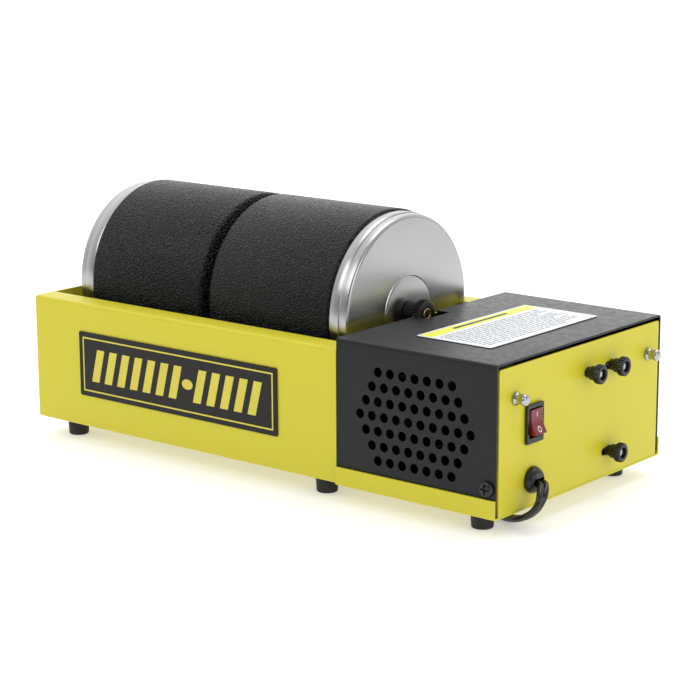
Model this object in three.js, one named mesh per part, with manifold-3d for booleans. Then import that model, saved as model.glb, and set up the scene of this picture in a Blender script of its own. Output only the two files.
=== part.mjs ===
// Twin-barrel rotary rock tumbler, in millimetres, +Z up.
// Design frame: x = 0 is the outer face of the end panel (the tray runs to -x), y = 0 is the
// outer face of the front wall, z = 0 is the underside of the sheet-metal base.
// The exported group is shifted so that its origin is the middle of the footprint, at floor level.
import * as THREE from "three";
import { mergeVertices } from "three/addons/utils/BufferGeometryUtils.js";
import Module from "manifold-3d";

const wasm = await Module();
wasm.setup();

// ---- driving dimensions ----
const SHEET = 1.2; // sheet-metal thickness
const GAP = 0.3; // clearance between pieces that touch
const LENGTH = 339; // chassis, left wall to end panel
const WIDTH = 158.4; // over the tray walls
const MOTOR_LENGTH = 105; // motor compartment, end panel to tray
const TRAY_BOTTOM = 0.5;
const TRAY_TOP = 75.5;
const FLANGE = 15; // inward flange along the top of the tray's long walls
const COVER_TOP = 81.6;
const PANEL_TOP = 78.6;
const LIP_TOP = 10.6; // front and back lips of the motor base
const FOOT_HEIGHT = 10;
const FOOT_RADIUS = 6.5;

const MID_Y = WIDTH / 2;
const AXIS_Z = 81.2; // barrel axis
const BARREL_RADIUS = 57.15; // a 4.5 inch barrel
const BARREL_MID_X = -221.25; // plane between the two barrels
const SLEEVE_FROM = 3.35; // grained wall of a barrel, measured from that plane
const SLEEVE_TO = 91.65;
const LID_FACE = 104.05; // flat face of a barrel's lid, measured the same way
const KNOB_FACE = 117.45;
const KNOB_RADIUS = 8;

const ROLLER_RADIUS = 7.5;
const SHAFT_RADIUS = 4;
const ROLLER_SPREAD = 38; // each roller axis from the middle plane
const CONTACT = BARREL_RADIUS + ROLLER_RADIUS + GAP;
const ROLLER_Z = AXIS_Z - Math.sqrt(CONTACT ** 2 - ROLLER_SPREAD ** 2);
const DRIVE_Y = MID_Y - ROLLER_SPREAD;
const IDLER_Y = MID_Y + ROLLER_SPREAD;

const MOTOR_Y = 95.6; // rotor axis
const MOTOR_Z = 40;
const STUDS = [
  [84, 62.5, 1.3],
  [107.3, 62.5, 4.4],
  [106.3, 14.5, 4.9],
]; // motor mounting studs, as y, z and the room that their slots leave in front of them
const STUD_RADIUS = 2;
const TIGHTEN = 4.3; // room that each slot leaves behind its stud
const BELT_X = -94;
const BELT_SIZE = 4;
const DRIVE_PITCH = 24; // radius of the belt on the big pulley
const MOTOR_PITCH = 5.76; // and on the motor's pulley

const SWITCH = { y: 32.5, z: 45.5, width: 15.2, height: 21 };
const BUSH = { y: 32, z: 15, radius: 7.15, out: 5.2, drop: 0.8 };
const CORD_WIDTH = 6.8; // flat two-core cord
const CORD_THICK = 3.5;
const COIL = { x: -163, y: 218.5, inner: 33.6, outer: 45, low: -8.9, high: 5 };

// ---- materials ----
function finish(color, roughness, metalness = 0) {
  return new THREE.MeshStandardMaterial({ color, roughness, metalness });
}
const yellow = finish("#d8cc48", 0.4);
const black = finish("#2b2d31", 0.55);
const grained = finish("#1d1e20", 0.6);
const rubber = finish("#161616", 0.8);
const plastic = finish("#1b1b1d", 0.5);
const aluminium = finish("#c9cbce", 0.3, 1);
const steel = finish("#a9acb0", 0.35, 1);
const chrome = finish("#e4e6e8", 0.1, 1);
const brass = finish("#c79a4a", 0.3, 1);
const copper = finish("#a8642f", 0.4, 1);
const red = finish("#a51d1d", 0.3);
const paper = finish("#f2f2ee", 0.6);
const plate = finish("#2a2620", 0.5);
const nylon = finish("#e6e3d8", 0.5);

// ---- solids ----
function solid(geometry) {
  const bare = geometry.clone();
  bare.deleteAttribute("normal");
  bare.deleteAttribute("uv");
  const merged = mergeVertices(bare, 1e-4);
  return new wasm.Manifold(
    new wasm.Mesh({
      numProp: 3,
      vertProperties: merged.attributes.position.array,
      triVerts: new Uint32Array(merged.index.array),
    }),
  );
}

function geometryOf(body) {
  const mesh = body.getMesh();
  const stride = mesh.numProp;
  const points = new Float32Array(mesh.numVert * 3);
  for (let i = 0; i < mesh.numVert; i++) {
    points.set(mesh.vertProperties.subarray(i * stride, i * stride + 3), i * 3);
  }
  const geometry = new THREE.BufferGeometry();
  geometry.setAttribute("position", new THREE.BufferAttribute(points, 3));
  geometry.setIndex(new THREE.BufferAttribute(mesh.triVerts, 1));
  geometry.computeVertexNormals();
  return geometry;
}

function join(...bodies) {
  return bodies.reduce((sum, body) => sum.add(body));
}

function cut(body, ...tools) {
  return tools.reduce((left, tool) => left.subtract(tool), body);
}

// A block between two corners.
function block([x0, y0, z0], [x1, y1, z1]) {
  const geometry = new THREE.BoxGeometry(x1 - x0, y1 - y0, z1 - z0);
  geometry.translate((x0 + x1) / 2, (y0 + y1) / 2, (z0 + z1) / 2);
  return solid(geometry);
}

// A round solid about an axis along +X or -X: profile is [radius, distance] pairs, and the
// distance is measured from x in the direction of sign.
function turned(profile, x, y, z, sign = 1, sides = 16) {
  const points = profile.map(([r, u]) => new THREE.Vector2(r, u));
  const area = THREE.ShapeUtils.area(points);
  if (area < 0) points.reverse();
  points.push(points[0].clone());
  const geometry = new THREE.LatheGeometry(points, sides);
  const toX = new THREE.Matrix4().makeRotationZ((-sign * Math.PI) / 2);
  geometry.applyMatrix4(toX);
  geometry.translate(x, y, z);
  return solid(geometry);
}

// A plain rod along X.
function rod(radius, x0, x1, y, z, sides = 16) {
  return turned(
    [
      [0, 0],
      [radius, 0],
      [radius, x1 - x0],
      [0, x1 - x0],
    ],
    x0,
    y,
    z,
    1,
    sides,
  );
}

// A tube along X.
function tube(outer, inner, x0, x1, y, z, sides = 16) {
  return turned(
    [
      [inner, 0],
      [outer, 0],
      [outer, x1 - x0],
      [inner, x1 - x0],
    ],
    x0,
    y,
    z,
    1,
    sides,
  );
}

// A plate that lies across X: the shape is drawn in y and z.
function plateAcrossX(shape, x0, x1, curveSegments = 4) {
  const geometry = new THREE.ExtrudeGeometry(shape, {
    depth: x1 - x0,
    bevelEnabled: false,
    curveSegments,
  });
  const basis = new THREE.Matrix4().makeBasis(
    new THREE.Vector3(0, 1, 0),
    new THREE.Vector3(0, 0, 1),
    new THREE.Vector3(1, 0, 0),
  );
  geometry.applyMatrix4(basis);
  geometry.translate(x0, 0, 0);
  return solid(geometry);
}

// A round pin along Y.
function pinAlongY(radius, x, y0, y1, z, sides = 12) {
  const geometry = new THREE.CylinderGeometry(radius, radius, y1 - y0, sides);
  geometry.translate(x, (y0 + y1) / 2, z);
  return solid(geometry);
}

// A slot in y and z, with round ends.
function slot(y0, y1, z, radius) {
  const shape = new THREE.Shape();
  shape.moveTo(y0 + radius, z - radius);
  shape.lineTo(y1 - radius, z - radius);
  shape.absarc(y1 - radius, z, radius, -Math.PI / 2, Math.PI / 2, false);
  shape.lineTo(y0 + radius, z + radius);
  shape.absarc(y0 + radius, z, radius, Math.PI / 2, (3 * Math.PI) / 2, false);
  return shape;
}

// ---- chassis ----
const NOTCH_HALF = 10.5; // room for a turning lid knob in a wall or in the cover
const BEARING_HOLE = 6.6;

function knobNotch(x0, x1) {
  const round = rod(NOTCH_HALF, x0, x1, MID_Y, AXIS_Z, 24);
  const open = block(
    [x0, MID_Y - NOTCH_HALF, AXIS_Z],
    [x1, MID_Y + NOTCH_HALF, COVER_TOP + 5],
  );
  return join(round, open);
}

function bearingHoles(x0, x1) {
  return [DRIVE_Y, IDLER_Y].map((y) => rod(BEARING_HOLE, x0, x1, y, ROLLER_Z));
}

function tray() {
  const left = -LENGTH;
  const right = -MOTOR_LENGTH - GAP / 2;
  const floor = block([left, 0, TRAY_BOTTOM], [right, WIDTH, TRAY_BOTTOM + SHEET]);
  const front = block([left, 0, TRAY_BOTTOM], [right, SHEET, TRAY_TOP]);
  const back = block([left, WIDTH - SHEET, TRAY_BOTTOM], [right, WIDTH, TRAY_TOP]);
  const end = block([left, 0, TRAY_BOTTOM], [left + SHEET, WIDTH, TRAY_TOP]);
  const frontFlange = block([left, 0, TRAY_TOP - SHEET], [right, FLANGE, TRAY_TOP]);
  const backFlange = block(
    [left, WIDTH - FLANGE, TRAY_TOP - SHEET],
    [right, WIDTH, TRAY_TOP],
  );
  return cut(
    join(floor, front, back, end, frontFlange, backFlange),
    knobNotch(left - 1, left + SHEET + 1),
    ...bearingHoles(left - 1, left + SHEET + 1),
  );
}

function dividerWall() {
  const x = -MOTOR_LENGTH - SHEET - 2 * GAP;
  const low = TRAY_BOTTOM + SHEET + GAP;
  const inset = SHEET + GAP;
  const wall = block([x, inset, low], [x + SHEET, WIDTH - inset, TRAY_TOP - SHEET - GAP]);
  const crown = block(
    [x, FLANGE + GAP, low],
    [x + SHEET, WIDTH - FLANGE - GAP, COVER_TOP - SHEET - GAP],
  );
  const foot = block([x, inset, low], [x + 8, WIDTH - inset, low + SHEET]);
  return cut(
    join(wall, crown, foot),
    knobNotch(x - 1, x + SHEET + 1),
    ...bearingHoles(x - 1, x + SHEET + 1),
  );
}

function motorBase() {
  const left = -MOTOR_LENGTH + GAP / 2;
  const lip = 0.2; // the lips stand just clear of the cover's flaps
  const out = lip + SHEET;
  const floor = block([left, -out, 0], [0, WIDTH + out, SHEET]);
  const front = block([left, -out, 0], [0, -lip, LIP_TOP]);
  const back = block([left, WIDTH + lip, 0], [0, WIDTH + out, LIP_TOP]);
  const corner = 1.5;
  const y0 = 2 * SHEET;
  const y1 = WIDTH - y0;
  const outline = new THREE.Shape();
  outline.moveTo(y0, 0);
  outline.lineTo(y1, 0);
  outline.lineTo(y1, PANEL_TOP - corner);
  outline.absarc(y1 - corner, PANEL_TOP - corner, corner, 0, Math.PI / 2, false);
  outline.lineTo(y0 + corner, PANEL_TOP);
  outline.absarc(y0 + corner, PANEL_TOP - corner, corner, Math.PI / 2, Math.PI, false);
  outline.closePath();
  const panel = plateAcrossX(outline, -SHEET, 0, 4);
  const tabs = [y0 - 0.6, y1 + 0.6 - SHEET].map((y) =>
    block([-15, y, 6], [-SHEET / 2, y + SHEET, 26]),
  );
  const slots = STUDS.map(([y, z, slack]) =>
    plateAcrossX(slot(y - STUD_RADIUS - slack, y + STUD_RADIUS + TIGHTEN, z, 2.3), -3, 3),
  );
  const switchHole = block(
    [-3, SWITCH.y - 6.6, SWITCH.z - 9.6],
    [3, SWITCH.y + 6.6, SWITCH.z + 9.6],
  );
  const bushHole = rod(6, -3, 3, BUSH.y, BUSH.z);
  const postHoles = POSTS.map((y) => rod(1.8, -3, 3, y, POST_Z, 12));
  const screwHoles = pinAlongY(1.9, SCREW.x, -1, WIDTH + 1, SCREW.z);
  return cut(
    join(floor, front, back, panel, ...tabs),
    ...slots,
    switchHole,
    bushHole,
    ...postHoles,
    screwHoles,
  );
}

const VENT_COUNTS = [7, 8, 9, 10, 9, 8, 7];
const VENT_PITCH = 8.06;
const VENT_RADIUS = 2.7;
const VENT_CENTRE = { x: -52.4, z: 42.6 };
const COVER_LEFT = -MOTOR_LENGTH + 0.1;
const COVER_FLAP_LOW = 3;
const SCREW = { x: -5.5, z: 16.2 };

function motorCover() {
  const right = -0.2;
  const y0 = 0.1;
  const y1 = WIDTH - y0;
  const top = block([COVER_LEFT, y0, COVER_TOP - SHEET], [right, y1, COVER_TOP]);
  const front = block([COVER_LEFT, y0, COVER_FLAP_LOW], [right, y0 + SHEET, COVER_TOP]);
  const back = block([COVER_LEFT, y1 - SHEET, COVER_FLAP_LOW], [right, y1, COVER_TOP]);
  const vents = [];
  VENT_COUNTS.forEach((count, row) => {
    const z = VENT_CENTRE.z + (3 - row) * VENT_PITCH;
    for (let i = 0; i < count; i++) {
      const x = VENT_CENTRE.x + (i - (count - 1) / 2) * VENT_PITCH;
      vents.push(pinAlongY(VENT_RADIUS, x, -1, 3, z, 8));
    }
  });
  const notch = block(
    [COVER_LEFT - 1, MID_Y - NOTCH_HALF, COVER_TOP - 3],
    [COVER_LEFT + 8.8, MID_Y + NOTCH_HALF, COVER_TOP + 1],
  );
  const screwHoles = pinAlongY(1.9, SCREW.x, -1, WIDTH + 1, SCREW.z);
  return cut(join(top, front, back), ...vents, notch, screwHoles);
}

// A pan-head screw through the cover into the base's tab; facing is -1 at the front.
function coverScrew(facing) {
  const profile = [
    [0, 0],
    [1.55, 0],
    [1.55, 5.2],
    [4.3, 5.2],
    [4.2, 6.3],
    [3, 7.3],
    [0, 7.6],
  ];
  const geometry = new THREE.LatheGeometry(
    profile.map(([r, u]) => new THREE.Vector2(r, u)),
    12,
  );
  const recess = 0.7;
  const bits = [
    new THREE.BoxGeometry(4.4, 3, recess),
    new THREE.BoxGeometry(recess, 3, 4.4),
  ];
  bits.forEach((bit) => bit.translate(0, 7.9, 0));
  const screw = cut(solid(geometry), solid(bits[0]), solid(bits[1]));
  const placed = geometryOf(screw);
  const mid = WIDTH / 2;
  if (facing < 0) placed.rotateX(Math.PI);
  const under = mid - 0.1 + GAP; // the underside of the head, from the middle plane
  placed.translate(SCREW.x, mid + facing * (under - 5.2), SCREW.z);
  return solid(placed);
}

function foot(x, y) {
  const geometry = new THREE.CylinderGeometry(FOOT_RADIUS, FOOT_RADIUS - 0.8, FOOT_HEIGHT - GAP, 18);
  geometry.rotateX(Math.PI / 2);
  geometry.translate(x, y, -(FOOT_HEIGHT + GAP) / 2);
  return solid(geometry);
}

const POSTS = [16.4, 144.6]; // cord posts on the end panel, as y
const POST_Z = 61.5;

function cordPost(y) {
  return turned(
    [
      [0, -5],
      [1.5, -5],
      [1.5, GAP],
      [3.6, GAP],
      [3.5, 1.5],
      [2.6, 2.6],
      [2.6, 4.9],
      [3.2, 6],
      [3, 7.3],
      [0, 7.9],
    ],
    0,
    y,
    POST_Z,
    1,
    14,
  );
}

// ---- switch and cord ----
const ROCKER = { half: 5.2, tall: 6.8, z: SWITCH.z + 0.4, well: 7.8 };
const ROCKER_TILT = (13 * Math.PI) / 180;

function switchBody() {
  const { y, z, width, height } = SWITCH;
  const bezel = block(
    [GAP, y - width / 2, z - height / 2],
    [2, y + width / 2, z + height / 2],
  );
  const housing = block([-13, y - 6.3, z - 9.3], [GAP, y + 6.3, z + 9.3]);
  const well = block(
    [-7, y - 5.5, ROCKER.z - ROCKER.well],
    [3, y + 5.5, ROCKER.z + ROCKER.well],
  );
  const blades = [-5, 0, 5].map((dz) =>
    block([-20, y - 2.4, z + dz - 0.4], [-12.5, y + 2.4, z + dz + 0.4]),
  );
  return join(cut(join(bezel, housing), well), ...blades);
}

// The rocker leans so that its upper half is pressed in.
function switchRocker() {
  const shape = new THREE.Shape();
  const tall = ROCKER.tall;
  shape.moveTo(3.8, -tall);
  shape.quadraticCurveTo(2.8, -3.6, 2.4, 0);
  shape.quadraticCurveTo(2.8, 3.6, 3.8, tall);
  shape.lineTo(1, tall);
  shape.lineTo(-2.6, 3.2);
  shape.lineTo(-2.6, -3.2);
  shape.lineTo(1, -tall);
  shape.closePath();
  const geometry = new THREE.ExtrudeGeometry(shape, {
    depth: 2 * ROCKER.half,
    bevelEnabled: false,
    curveSegments: 5,
  });
  geometry.translate(0, 0, -ROCKER.half);
  geometry.rotateX(Math.PI / 2);
  geometry.rotateY(-ROCKER_TILT);
  geometry.translate(0.6, SWITCH.y, ROCKER.z);
  return solid(geometry);
}

function cordBush() {
  const body = turned(
    [
      [0, -8],
      [5.7, -6],
      [5.7, GAP],
      [BUSH.radius, GAP],
      [BUSH.radius, 1.6],
      [6.4, 3.2],
      [5.2, BUSH.out],
      [0, BUSH.out],
    ],
    0,
    BUSH.y,
    BUSH.z,
  );
  const bore = block(
    [-9, BUSH.y - CORD_WIDTH / 2 - 0.4, BUSH.z - BUSH.drop - CORD_THICK / 2 - 0.4],
    [BUSH.out + 1, BUSH.y + CORD_WIDTH / 2 + 0.4, BUSH.z - BUSH.drop + CORD_THICK / 2 + 0.4],
  );
  return cut(body, bore);
}

const FLOOR_CORD_Z = -FOOT_HEIGHT + CORD_THICK / 2 + 0.05;

// The cord's route from the bush round and under the base to the coil behind the tray.
const CORD_ROUTE = [
  [BUSH.out + 0.6, BUSH.y, BUSH.z - BUSH.drop],
  [7.8, 31, 13.9],
  [9.8, 28.6, 12.6],
  [11.4, 25.4, 10.4],
  [12.2, 22.8, 7.4],
  [11, 21.4, 3.8],
  [7.8, 21.2, 0.4],
  [2.8, 22.4, -2.8],
  [-3.9, 25, -5.6],
  [-12, 29, -7.6],
  [-20, 33, FLOOR_CORD_Z],
  [-28, 38, FLOOR_CORD_Z],
  [-42, 54, FLOOR_CORD_Z],
  [-56, 78, FLOOR_CORD_Z],
  [-70, 106, FLOOR_CORD_Z],
  [-84, 132, FLOOR_CORD_Z],
  [-100, 152, FLOOR_CORD_Z],
  [-117, 164, FLOOR_CORD_Z],
  [-136, 169.6, FLOOR_CORD_Z],
  [-154.5, 170.2, FLOOR_CORD_Z],
];

// The cord's end, from the top of the coil down to the plug.
const TAIL_ROUTE = [
  [-211.5, 227, 1],
  [-214, 238, -0.8],
  [-217.6, 248.5, -3.8],
  [-224, 257.5, -5.6],
  [-231.5, 263, -4.2],
  [-238, 264, -2.9],
];

// A curve along which a flat section stays level, after a first part where it follows the bush.
class LevelCurve extends THREE.CatmullRomCurve3 {
  computeFrenetFrames(steps) {
    const frames = { tangents: [], normals: [], binormals: [] };
    const acrossBush = new THREE.Vector3(0, 1, 0);
    let last = acrossBush;
    for (let i = 0; i <= steps; i++) {
      const along = this.getTangentAt(i / steps).normalize();
      const wide = acrossBush.clone().addScaledVector(along, -acrossBush.dot(along)).normalize();
      const level = new THREE.Vector3(0, 0, 1).cross(along);
      const flatness = Math.min(Math.max((level.length() - 0.6) / 0.3, 0), 1);
      if (flatness > 0) {
        level.normalize();
        if (level.dot(last) < 0) level.negate();
        wide.lerp(level, flatness * Math.min((6 * i) / steps, 1)).normalize();
      }
      last = wide;
      frames.tangents.push(along);
      frames.normals.push(wide);
      frames.binormals.push(along.clone().cross(wide));
    }
    return frames;
  }
}

function cordTube(points) {
  const path = new LevelCurve(points.map((p) => new THREE.Vector3(...p)), false, "centripetal");
  const section = new THREE.Shape();
  const half = CORD_THICK / 2;
  const flat = CORD_WIDTH / 2 - half;
  section.absarc(flat, 0, half, -Math.PI / 2, Math.PI / 2, false);
  section.absarc(-flat, 0, half, Math.PI / 2, (3 * Math.PI) / 2, false);
  section.closePath();
  const steps = Math.round(path.getLength() / 9.5);
  const geometry = new THREE.ExtrudeGeometry(section, {
    steps,
    bevelEnabled: false,
    extrudePath: path,
    curveSegments: 2,
  });
  return solid(geometry);
}

function cordCoil() {
  const { x, y, inner, outer, low, high } = COIL;
  const round = 2;
  const points = [
    [inner + round, low],
    [outer - round, low],
    [outer, low + round],
    [outer, high - round],
    [outer - round, high],
    [inner + round, high],
    [inner, high - round],
    [inner, low + round],
    [inner + round, low],
  ].map(([r, h]) => new THREE.Vector2(r, h));
  const geometry = new THREE.LatheGeometry(points, 28);
  geometry.rotateX(Math.PI / 2);
  geometry.translate(x, y, 0);
  return solid(geometry);
}

// A strap round the coil's section.
function cordTie() {
  const { x, y, inner, outer, low, high } = COIL;
  const strap = 0.6;
  const half = 3;
  const loop = (grow) =>
    block(
      [x + inner - grow, y - half, low - grow],
      [x + outer + grow, y + half, high + grow],
    );
  const hole = block(
    [x + inner - GAP - 0.2, y - half - 1, low - GAP],
    [x + outer + GAP, y + half + 1, high + GAP],
  );
  return cut(loop(GAP + strap), hole);
}

const PLUG = { x: -238.8, y: 264, z: -2.9, length: 27 };

function plug() {
  const { x, y, z, length } = PLUG;
  const outline = new THREE.Shape();
  outline.moveTo(0, -3.4);
  outline.lineTo(8, -4.2);
  outline.quadraticCurveTo(11, -8.4, 14, -8.6);
  outline.lineTo(length, -8.6);
  outline.lineTo(length, 8.6);
  outline.lineTo(14, 8.6);
  outline.quadraticCurveTo(11, 8.4, 8, 4.2);
  outline.lineTo(0, 3.4);
  outline.closePath();
  const geometry = new THREE.ExtrudeGeometry(outline, {
    depth: 10,
    bevelEnabled: true,
    bevelThickness: 2,
    bevelSize: 2,
    bevelOffset: -2,
    bevelSegments: 1,
    curveSegments: 4,
  });
  geometry.translate(0, 0, -5);
  geometry.rotateZ(Math.PI);
  geometry.translate(x, y, z);
  const blades = [-6.35, 6.35].map((dy) =>
    block(
      [x - length - 16, y + dy - 0.75, z - 3.1],
      [x - length + 1, y + dy + 0.75, z + 3.1],
    ),
  );
  return join(solid(geometry), ...blades);
}

// ---- motor ----
const CORE_X = [-62, -37];
const CORE = { y0: 67.6, y1: 123.6, z0: 9, z1: 70 };
const WINDOW = { y0: 76, y1: 101, z0: 19, z1: 23.5 };
const ROTOR_RADIUS = 15.6;

function statorCore() {
  const body = block([CORE_X[0], CORE.y0, CORE.z0], [CORE_X[1], CORE.y1, CORE.z1]);
  const bore = rod(ROTOR_RADIUS + 0.4, CORE_X[0] - 1, CORE_X[1] + 1, MOTOR_Y, MOTOR_Z, 28);
  const window = block(
    [CORE_X[0] - 1, WINDOW.y0 - 1, CORE.z0 + 9],
    [CORE_X[1] + 1, WINDOW.y1 + 1, WINDOW.z1],
  );
  const below = block(
    [CORE_X[0] - 1, WINDOW.y0 - 1, CORE.z0 - 1],
    [CORE_X[1] + 1, WINDOW.y1 + 1, CORE.z0 + 1],
  );
  const holes = STUDS.map(([y, z]) =>
    rod(STUD_RADIUS + GAP, CORE_X[0] - 1, CORE_X[1] + 1, y, z, 12),
  );
  return cut(body, bore, window, below, ...holes);
}

function statorCoil() {
  const outer = block(
    [CORE_X[0] - 6, WINDOW.y0, 3.8],
    [CORE_X[1] + 6, WINDOW.y1, WINDOW.z1 - GAP],
  );
  const inner = block(
    [CORE_X[0] - GAP, WINDOW.y0 - 1, CORE.z0 + 1 - GAP],
    [CORE_X[1] + GAP, WINDOW.y1 + 1, CORE.z0 + 9 + GAP],
  );
  return cut(outer, inner);
}

function rotor() {
  return turned(
    [
      [0, -100],
      [3, -100],
      [3, -61],
      [ROTOR_RADIUS, -61],
      [ROTOR_RADIUS, -38],
      [3, -38],
      [3, -20],
      [0, -20],
    ],
    0,
    MOTOR_Y,
    MOTOR_Z,
  );
}

function motorBracket(x0, x1) {
  const ear = 6;
  const shape = new THREE.Shape();
  const [a, b, c] = STUDS;
  shape.moveTo(a[0] - ear, a[1]);
  shape.absarc(a[0], a[1], ear, Math.PI, Math.PI / 2, true);
  shape.lineTo(b[0], b[1] + ear);
  shape.absarc(b[0], b[1], ear, Math.PI / 2, 0, true);
  shape.lineTo(c[0] + ear, c[1]);
  shape.absarc(c[0], c[1], ear, 0, -Math.PI / 2, true);
  shape.lineTo(c[0] - ear, c[1] - 2);
  shape.lineTo(MOTOR_Y - 14, MOTOR_Z - 8);
  shape.closePath();
  const body = plateAcrossX(shape, x0, x1);
  const boss = rod(9, x0 - 2, x1 + 2, MOTOR_Y, MOTOR_Z);
  const bore = rod(3 + GAP, x0 - 3, x1 + 3, MOTOR_Y, MOTOR_Z, 16);
  const holes = STUDS.map(([y, z]) => rod(STUD_RADIUS + GAP, x0 - 3, x1 + 3, y, z, 12));
  return cut(join(body, boss), bore, ...holes);
}

function motorStud([y, z]) {
  return rod(STUD_RADIUS, -78, 8.9, y, z, 12);
}

function fan() {
  const hub = rod(7, -90, -80.5, MOTOR_Y, MOTOR_Z);
  const disc = rod(22, -82, -80.5, MOTOR_Y, MOTOR_Z);
  const blades = [];
  const count = 8;
  for (let i = 0; i < count; i++) {
    const blade = new THREE.BoxGeometry(7, 16, 1.2);
    blade.translate(-84.8, 13.5, 0);
    blade.rotateX((2 * Math.PI * i) / count);
    blade.translate(0, MOTOR_Y, MOTOR_Z);
    blades.push(solid(blade));
  }
  const bore = rod(3 + GAP, -91, -79, MOTOR_Y, MOTOR_Z, 16);
  return cut(join(hub, disc, ...blades), bore);
}

// A grooved pulley for the round belt, centred on the belt's plane.
function pulley(pitch, bore, y, z, sides) {
  const half = BELT_SIZE / 2;
  const rim = pitch + 1.6;
  const root = pitch - half - GAP;
  const wide = half + 2;
  const narrow = half + 0.4;
  return turned(
    [
      [bore, -wide],
      [rim, -wide],
      [rim, -narrow],
      [root, -narrow],
      [root, narrow],
      [rim, narrow],
      [rim, wide],
      [bore, wide],
    ],
    BELT_X,
    y,
    z,
    1,
    sides,
  );
}

// The belt's loop at a given distance outside its pitch line.
function beltLoop(extra) {
  const dy = MOTOR_Y - DRIVE_Y;
  const dz = MOTOR_Z - ROLLER_Z;
  const along = Math.atan2(dz, dy);
  const lean = Math.acos((DRIVE_PITCH - MOTOR_PITCH) / Math.hypot(dy, dz));
  const big = DRIVE_PITCH + extra;
  const small = MOTOR_PITCH + extra;
  const shape = new THREE.Shape();
  shape.absarc(DRIVE_Y, ROLLER_Z, big, along + lean, along - lean + 2 * Math.PI, false);
  shape.absarc(MOTOR_Y, MOTOR_Z, small, along - lean, along + lean, false);
  shape.closePath();
  return shape;
}

function driveBelt() {
  const half = BELT_SIZE / 2;
  const outer = plateAcrossX(beltLoop(half), BELT_X - half, BELT_X + half, 9);
  const inner = plateAcrossX(beltLoop(-half), BELT_X - half - 1, BELT_X + half + 1, 9);
  return cut(outer, inner);
}

function thumbNut([y, z]) {
  return turned(
    [
      [STUD_RADIUS + GAP, GAP],
      [3, GAP],
      [3, 2.6],
      [3.9, 2.6],
      [3.9, 5.6],
      [5, 6],
      [5.4, 6.6],
      [5.4, 9.2],
      [4.9, 9.8],
      [3, 9.8],
      [3, 8.2],
      [STUD_RADIUS + GAP, 8.2],
    ],
    0,
    y,
    z,
    1,
    16,
  );
}

// ---- rollers ----
const SLEEVES = [
  [-213, -134],
  [-308.5, -229.5],
];

function rollerShaft(y, right) {
  return rod(SHAFT_RADIUS, -LENGTH - 0.6, right, y, ROLLER_Z, 16);
}

function rollerSleeve(y, [x0, x1]) {
  return tube(ROLLER_RADIUS, SHAFT_RADIUS + GAP, x0, x1, y, ROLLER_Z);
}

// A flanged bush in a wall; the flange is on the side given by sign.
function bearing(wallX, y, sign) {
  return turned(
    [
      [SHAFT_RADIUS + GAP, -5.5],
      [BEARING_HOLE - GAP, -5.5],
      [BEARING_HOLE - GAP, GAP],
      [9, GAP],
      [9, GAP + 1.3],
      [SHAFT_RADIUS + GAP, GAP + 1.3],
    ],
    wallX,
    y,
    ROLLER_Z,
    sign,
  );
}

// ---- barrels: side is +1 for the one next to the motor, whose lid faces +x ----
const BARREL_SIDES = 36;

function barrelTurned(profile, side, sides = BARREL_SIDES) {
  return turned(profile, BARREL_MID_X, MID_Y, AXIS_Z, side, sides);
}

const MOUTH = 97; // rim of the barrel, inside the lid's skirt

function barrelBody(side) {
  return barrelTurned(
    [
      [0, 1],
      [53.4, 1],
      [54.2, SLEEVE_FROM],
      [BARREL_RADIUS, SLEEVE_FROM + 0.8],
      [BARREL_RADIUS, SLEEVE_TO],
      [54, SLEEVE_TO],
      [54, MOUTH],
      [49.5, MOUTH],
      [49.5, 7],
      [0, 7],
    ],
    side,
  );
}

function innerLid(side) {
  return barrelTurned(
    [
      [0, MOUTH - 5],
      [45, MOUTH - 5],
      [49, MOUTH - 1],
      [49, MOUTH + GAP],
      [53.2, MOUTH + GAP],
      [53.2, MOUTH + 1.5],
      [2.5, MOUTH + 1.5],
      [2.5, KNOB_FACE - 5.6],
      [0, KNOB_FACE - 5.6],
    ],
    side,
    24,
  );
}

function outerLid(side) {
  const skin = 1;
  const disc = 20;
  return barrelTurned(
    [
      [3, LID_FACE - skin],
      [53.4, LID_FACE - skin],
      [54.2, LID_FACE - skin - 1],
      [55, SLEEVE_TO + GAP],
      [56, SLEEVE_TO + GAP],
      [56, LID_FACE - 5.6],
      [55.2, LID_FACE - 5.2],
      [55.2, LID_FACE - 1.4],
      [54, LID_FACE],
      [disc + 0.3, LID_FACE],
      [disc, LID_FACE + 0.8],
      [3, LID_FACE + 0.8],
    ],
    side,
  );
}

function lidKnob(side) {
  const stem = LID_FACE + 0.8 + GAP;
  return barrelTurned(
    [
      [2.8, stem],
      [6.6, stem],
      [6.6, KNOB_FACE - 6.4],
      [5.4, KNOB_FACE - 5.8],
      [KNOB_RADIUS, KNOB_FACE - 5],
      [KNOB_RADIUS, KNOB_FACE - 0.6],
      [KNOB_RADIUS - 0.6, KNOB_FACE],
      [3.7, KNOB_FACE],
      [3.7, KNOB_FACE - 5],
      [2.8, KNOB_FACE - 5],
    ],
    side,
    20,
  );
}

function knobInsert(side) {
  return barrelTurned(
    [
      [2.2, KNOB_FACE - 4.6],
      [3.4, KNOB_FACE - 4.6],
      [3.4, KNOB_FACE + 0.2],
      [2.2, KNOB_FACE + 0.2],
    ],
    side,
    12,
  );
}

// ---- labels ----
function frontNameplate() {
  return block([-301.5, -GAP - 0.5, 20], [-146.4, -GAP, 58.7]);
}

function topLabel() {
  return block([-73.5, 29, COVER_TOP + GAP], [-24.5, 131.5, COVER_TOP + GAP + 0.3]);
}

// ---- assembly ----
const machine = new THREE.Group();
const cords = new THREE.Group();

function add(group, name, body, material) {
  const mesh = new THREE.Mesh(geometryOf(body), material);
  mesh.name = name;
  group.add(mesh);
}

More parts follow.
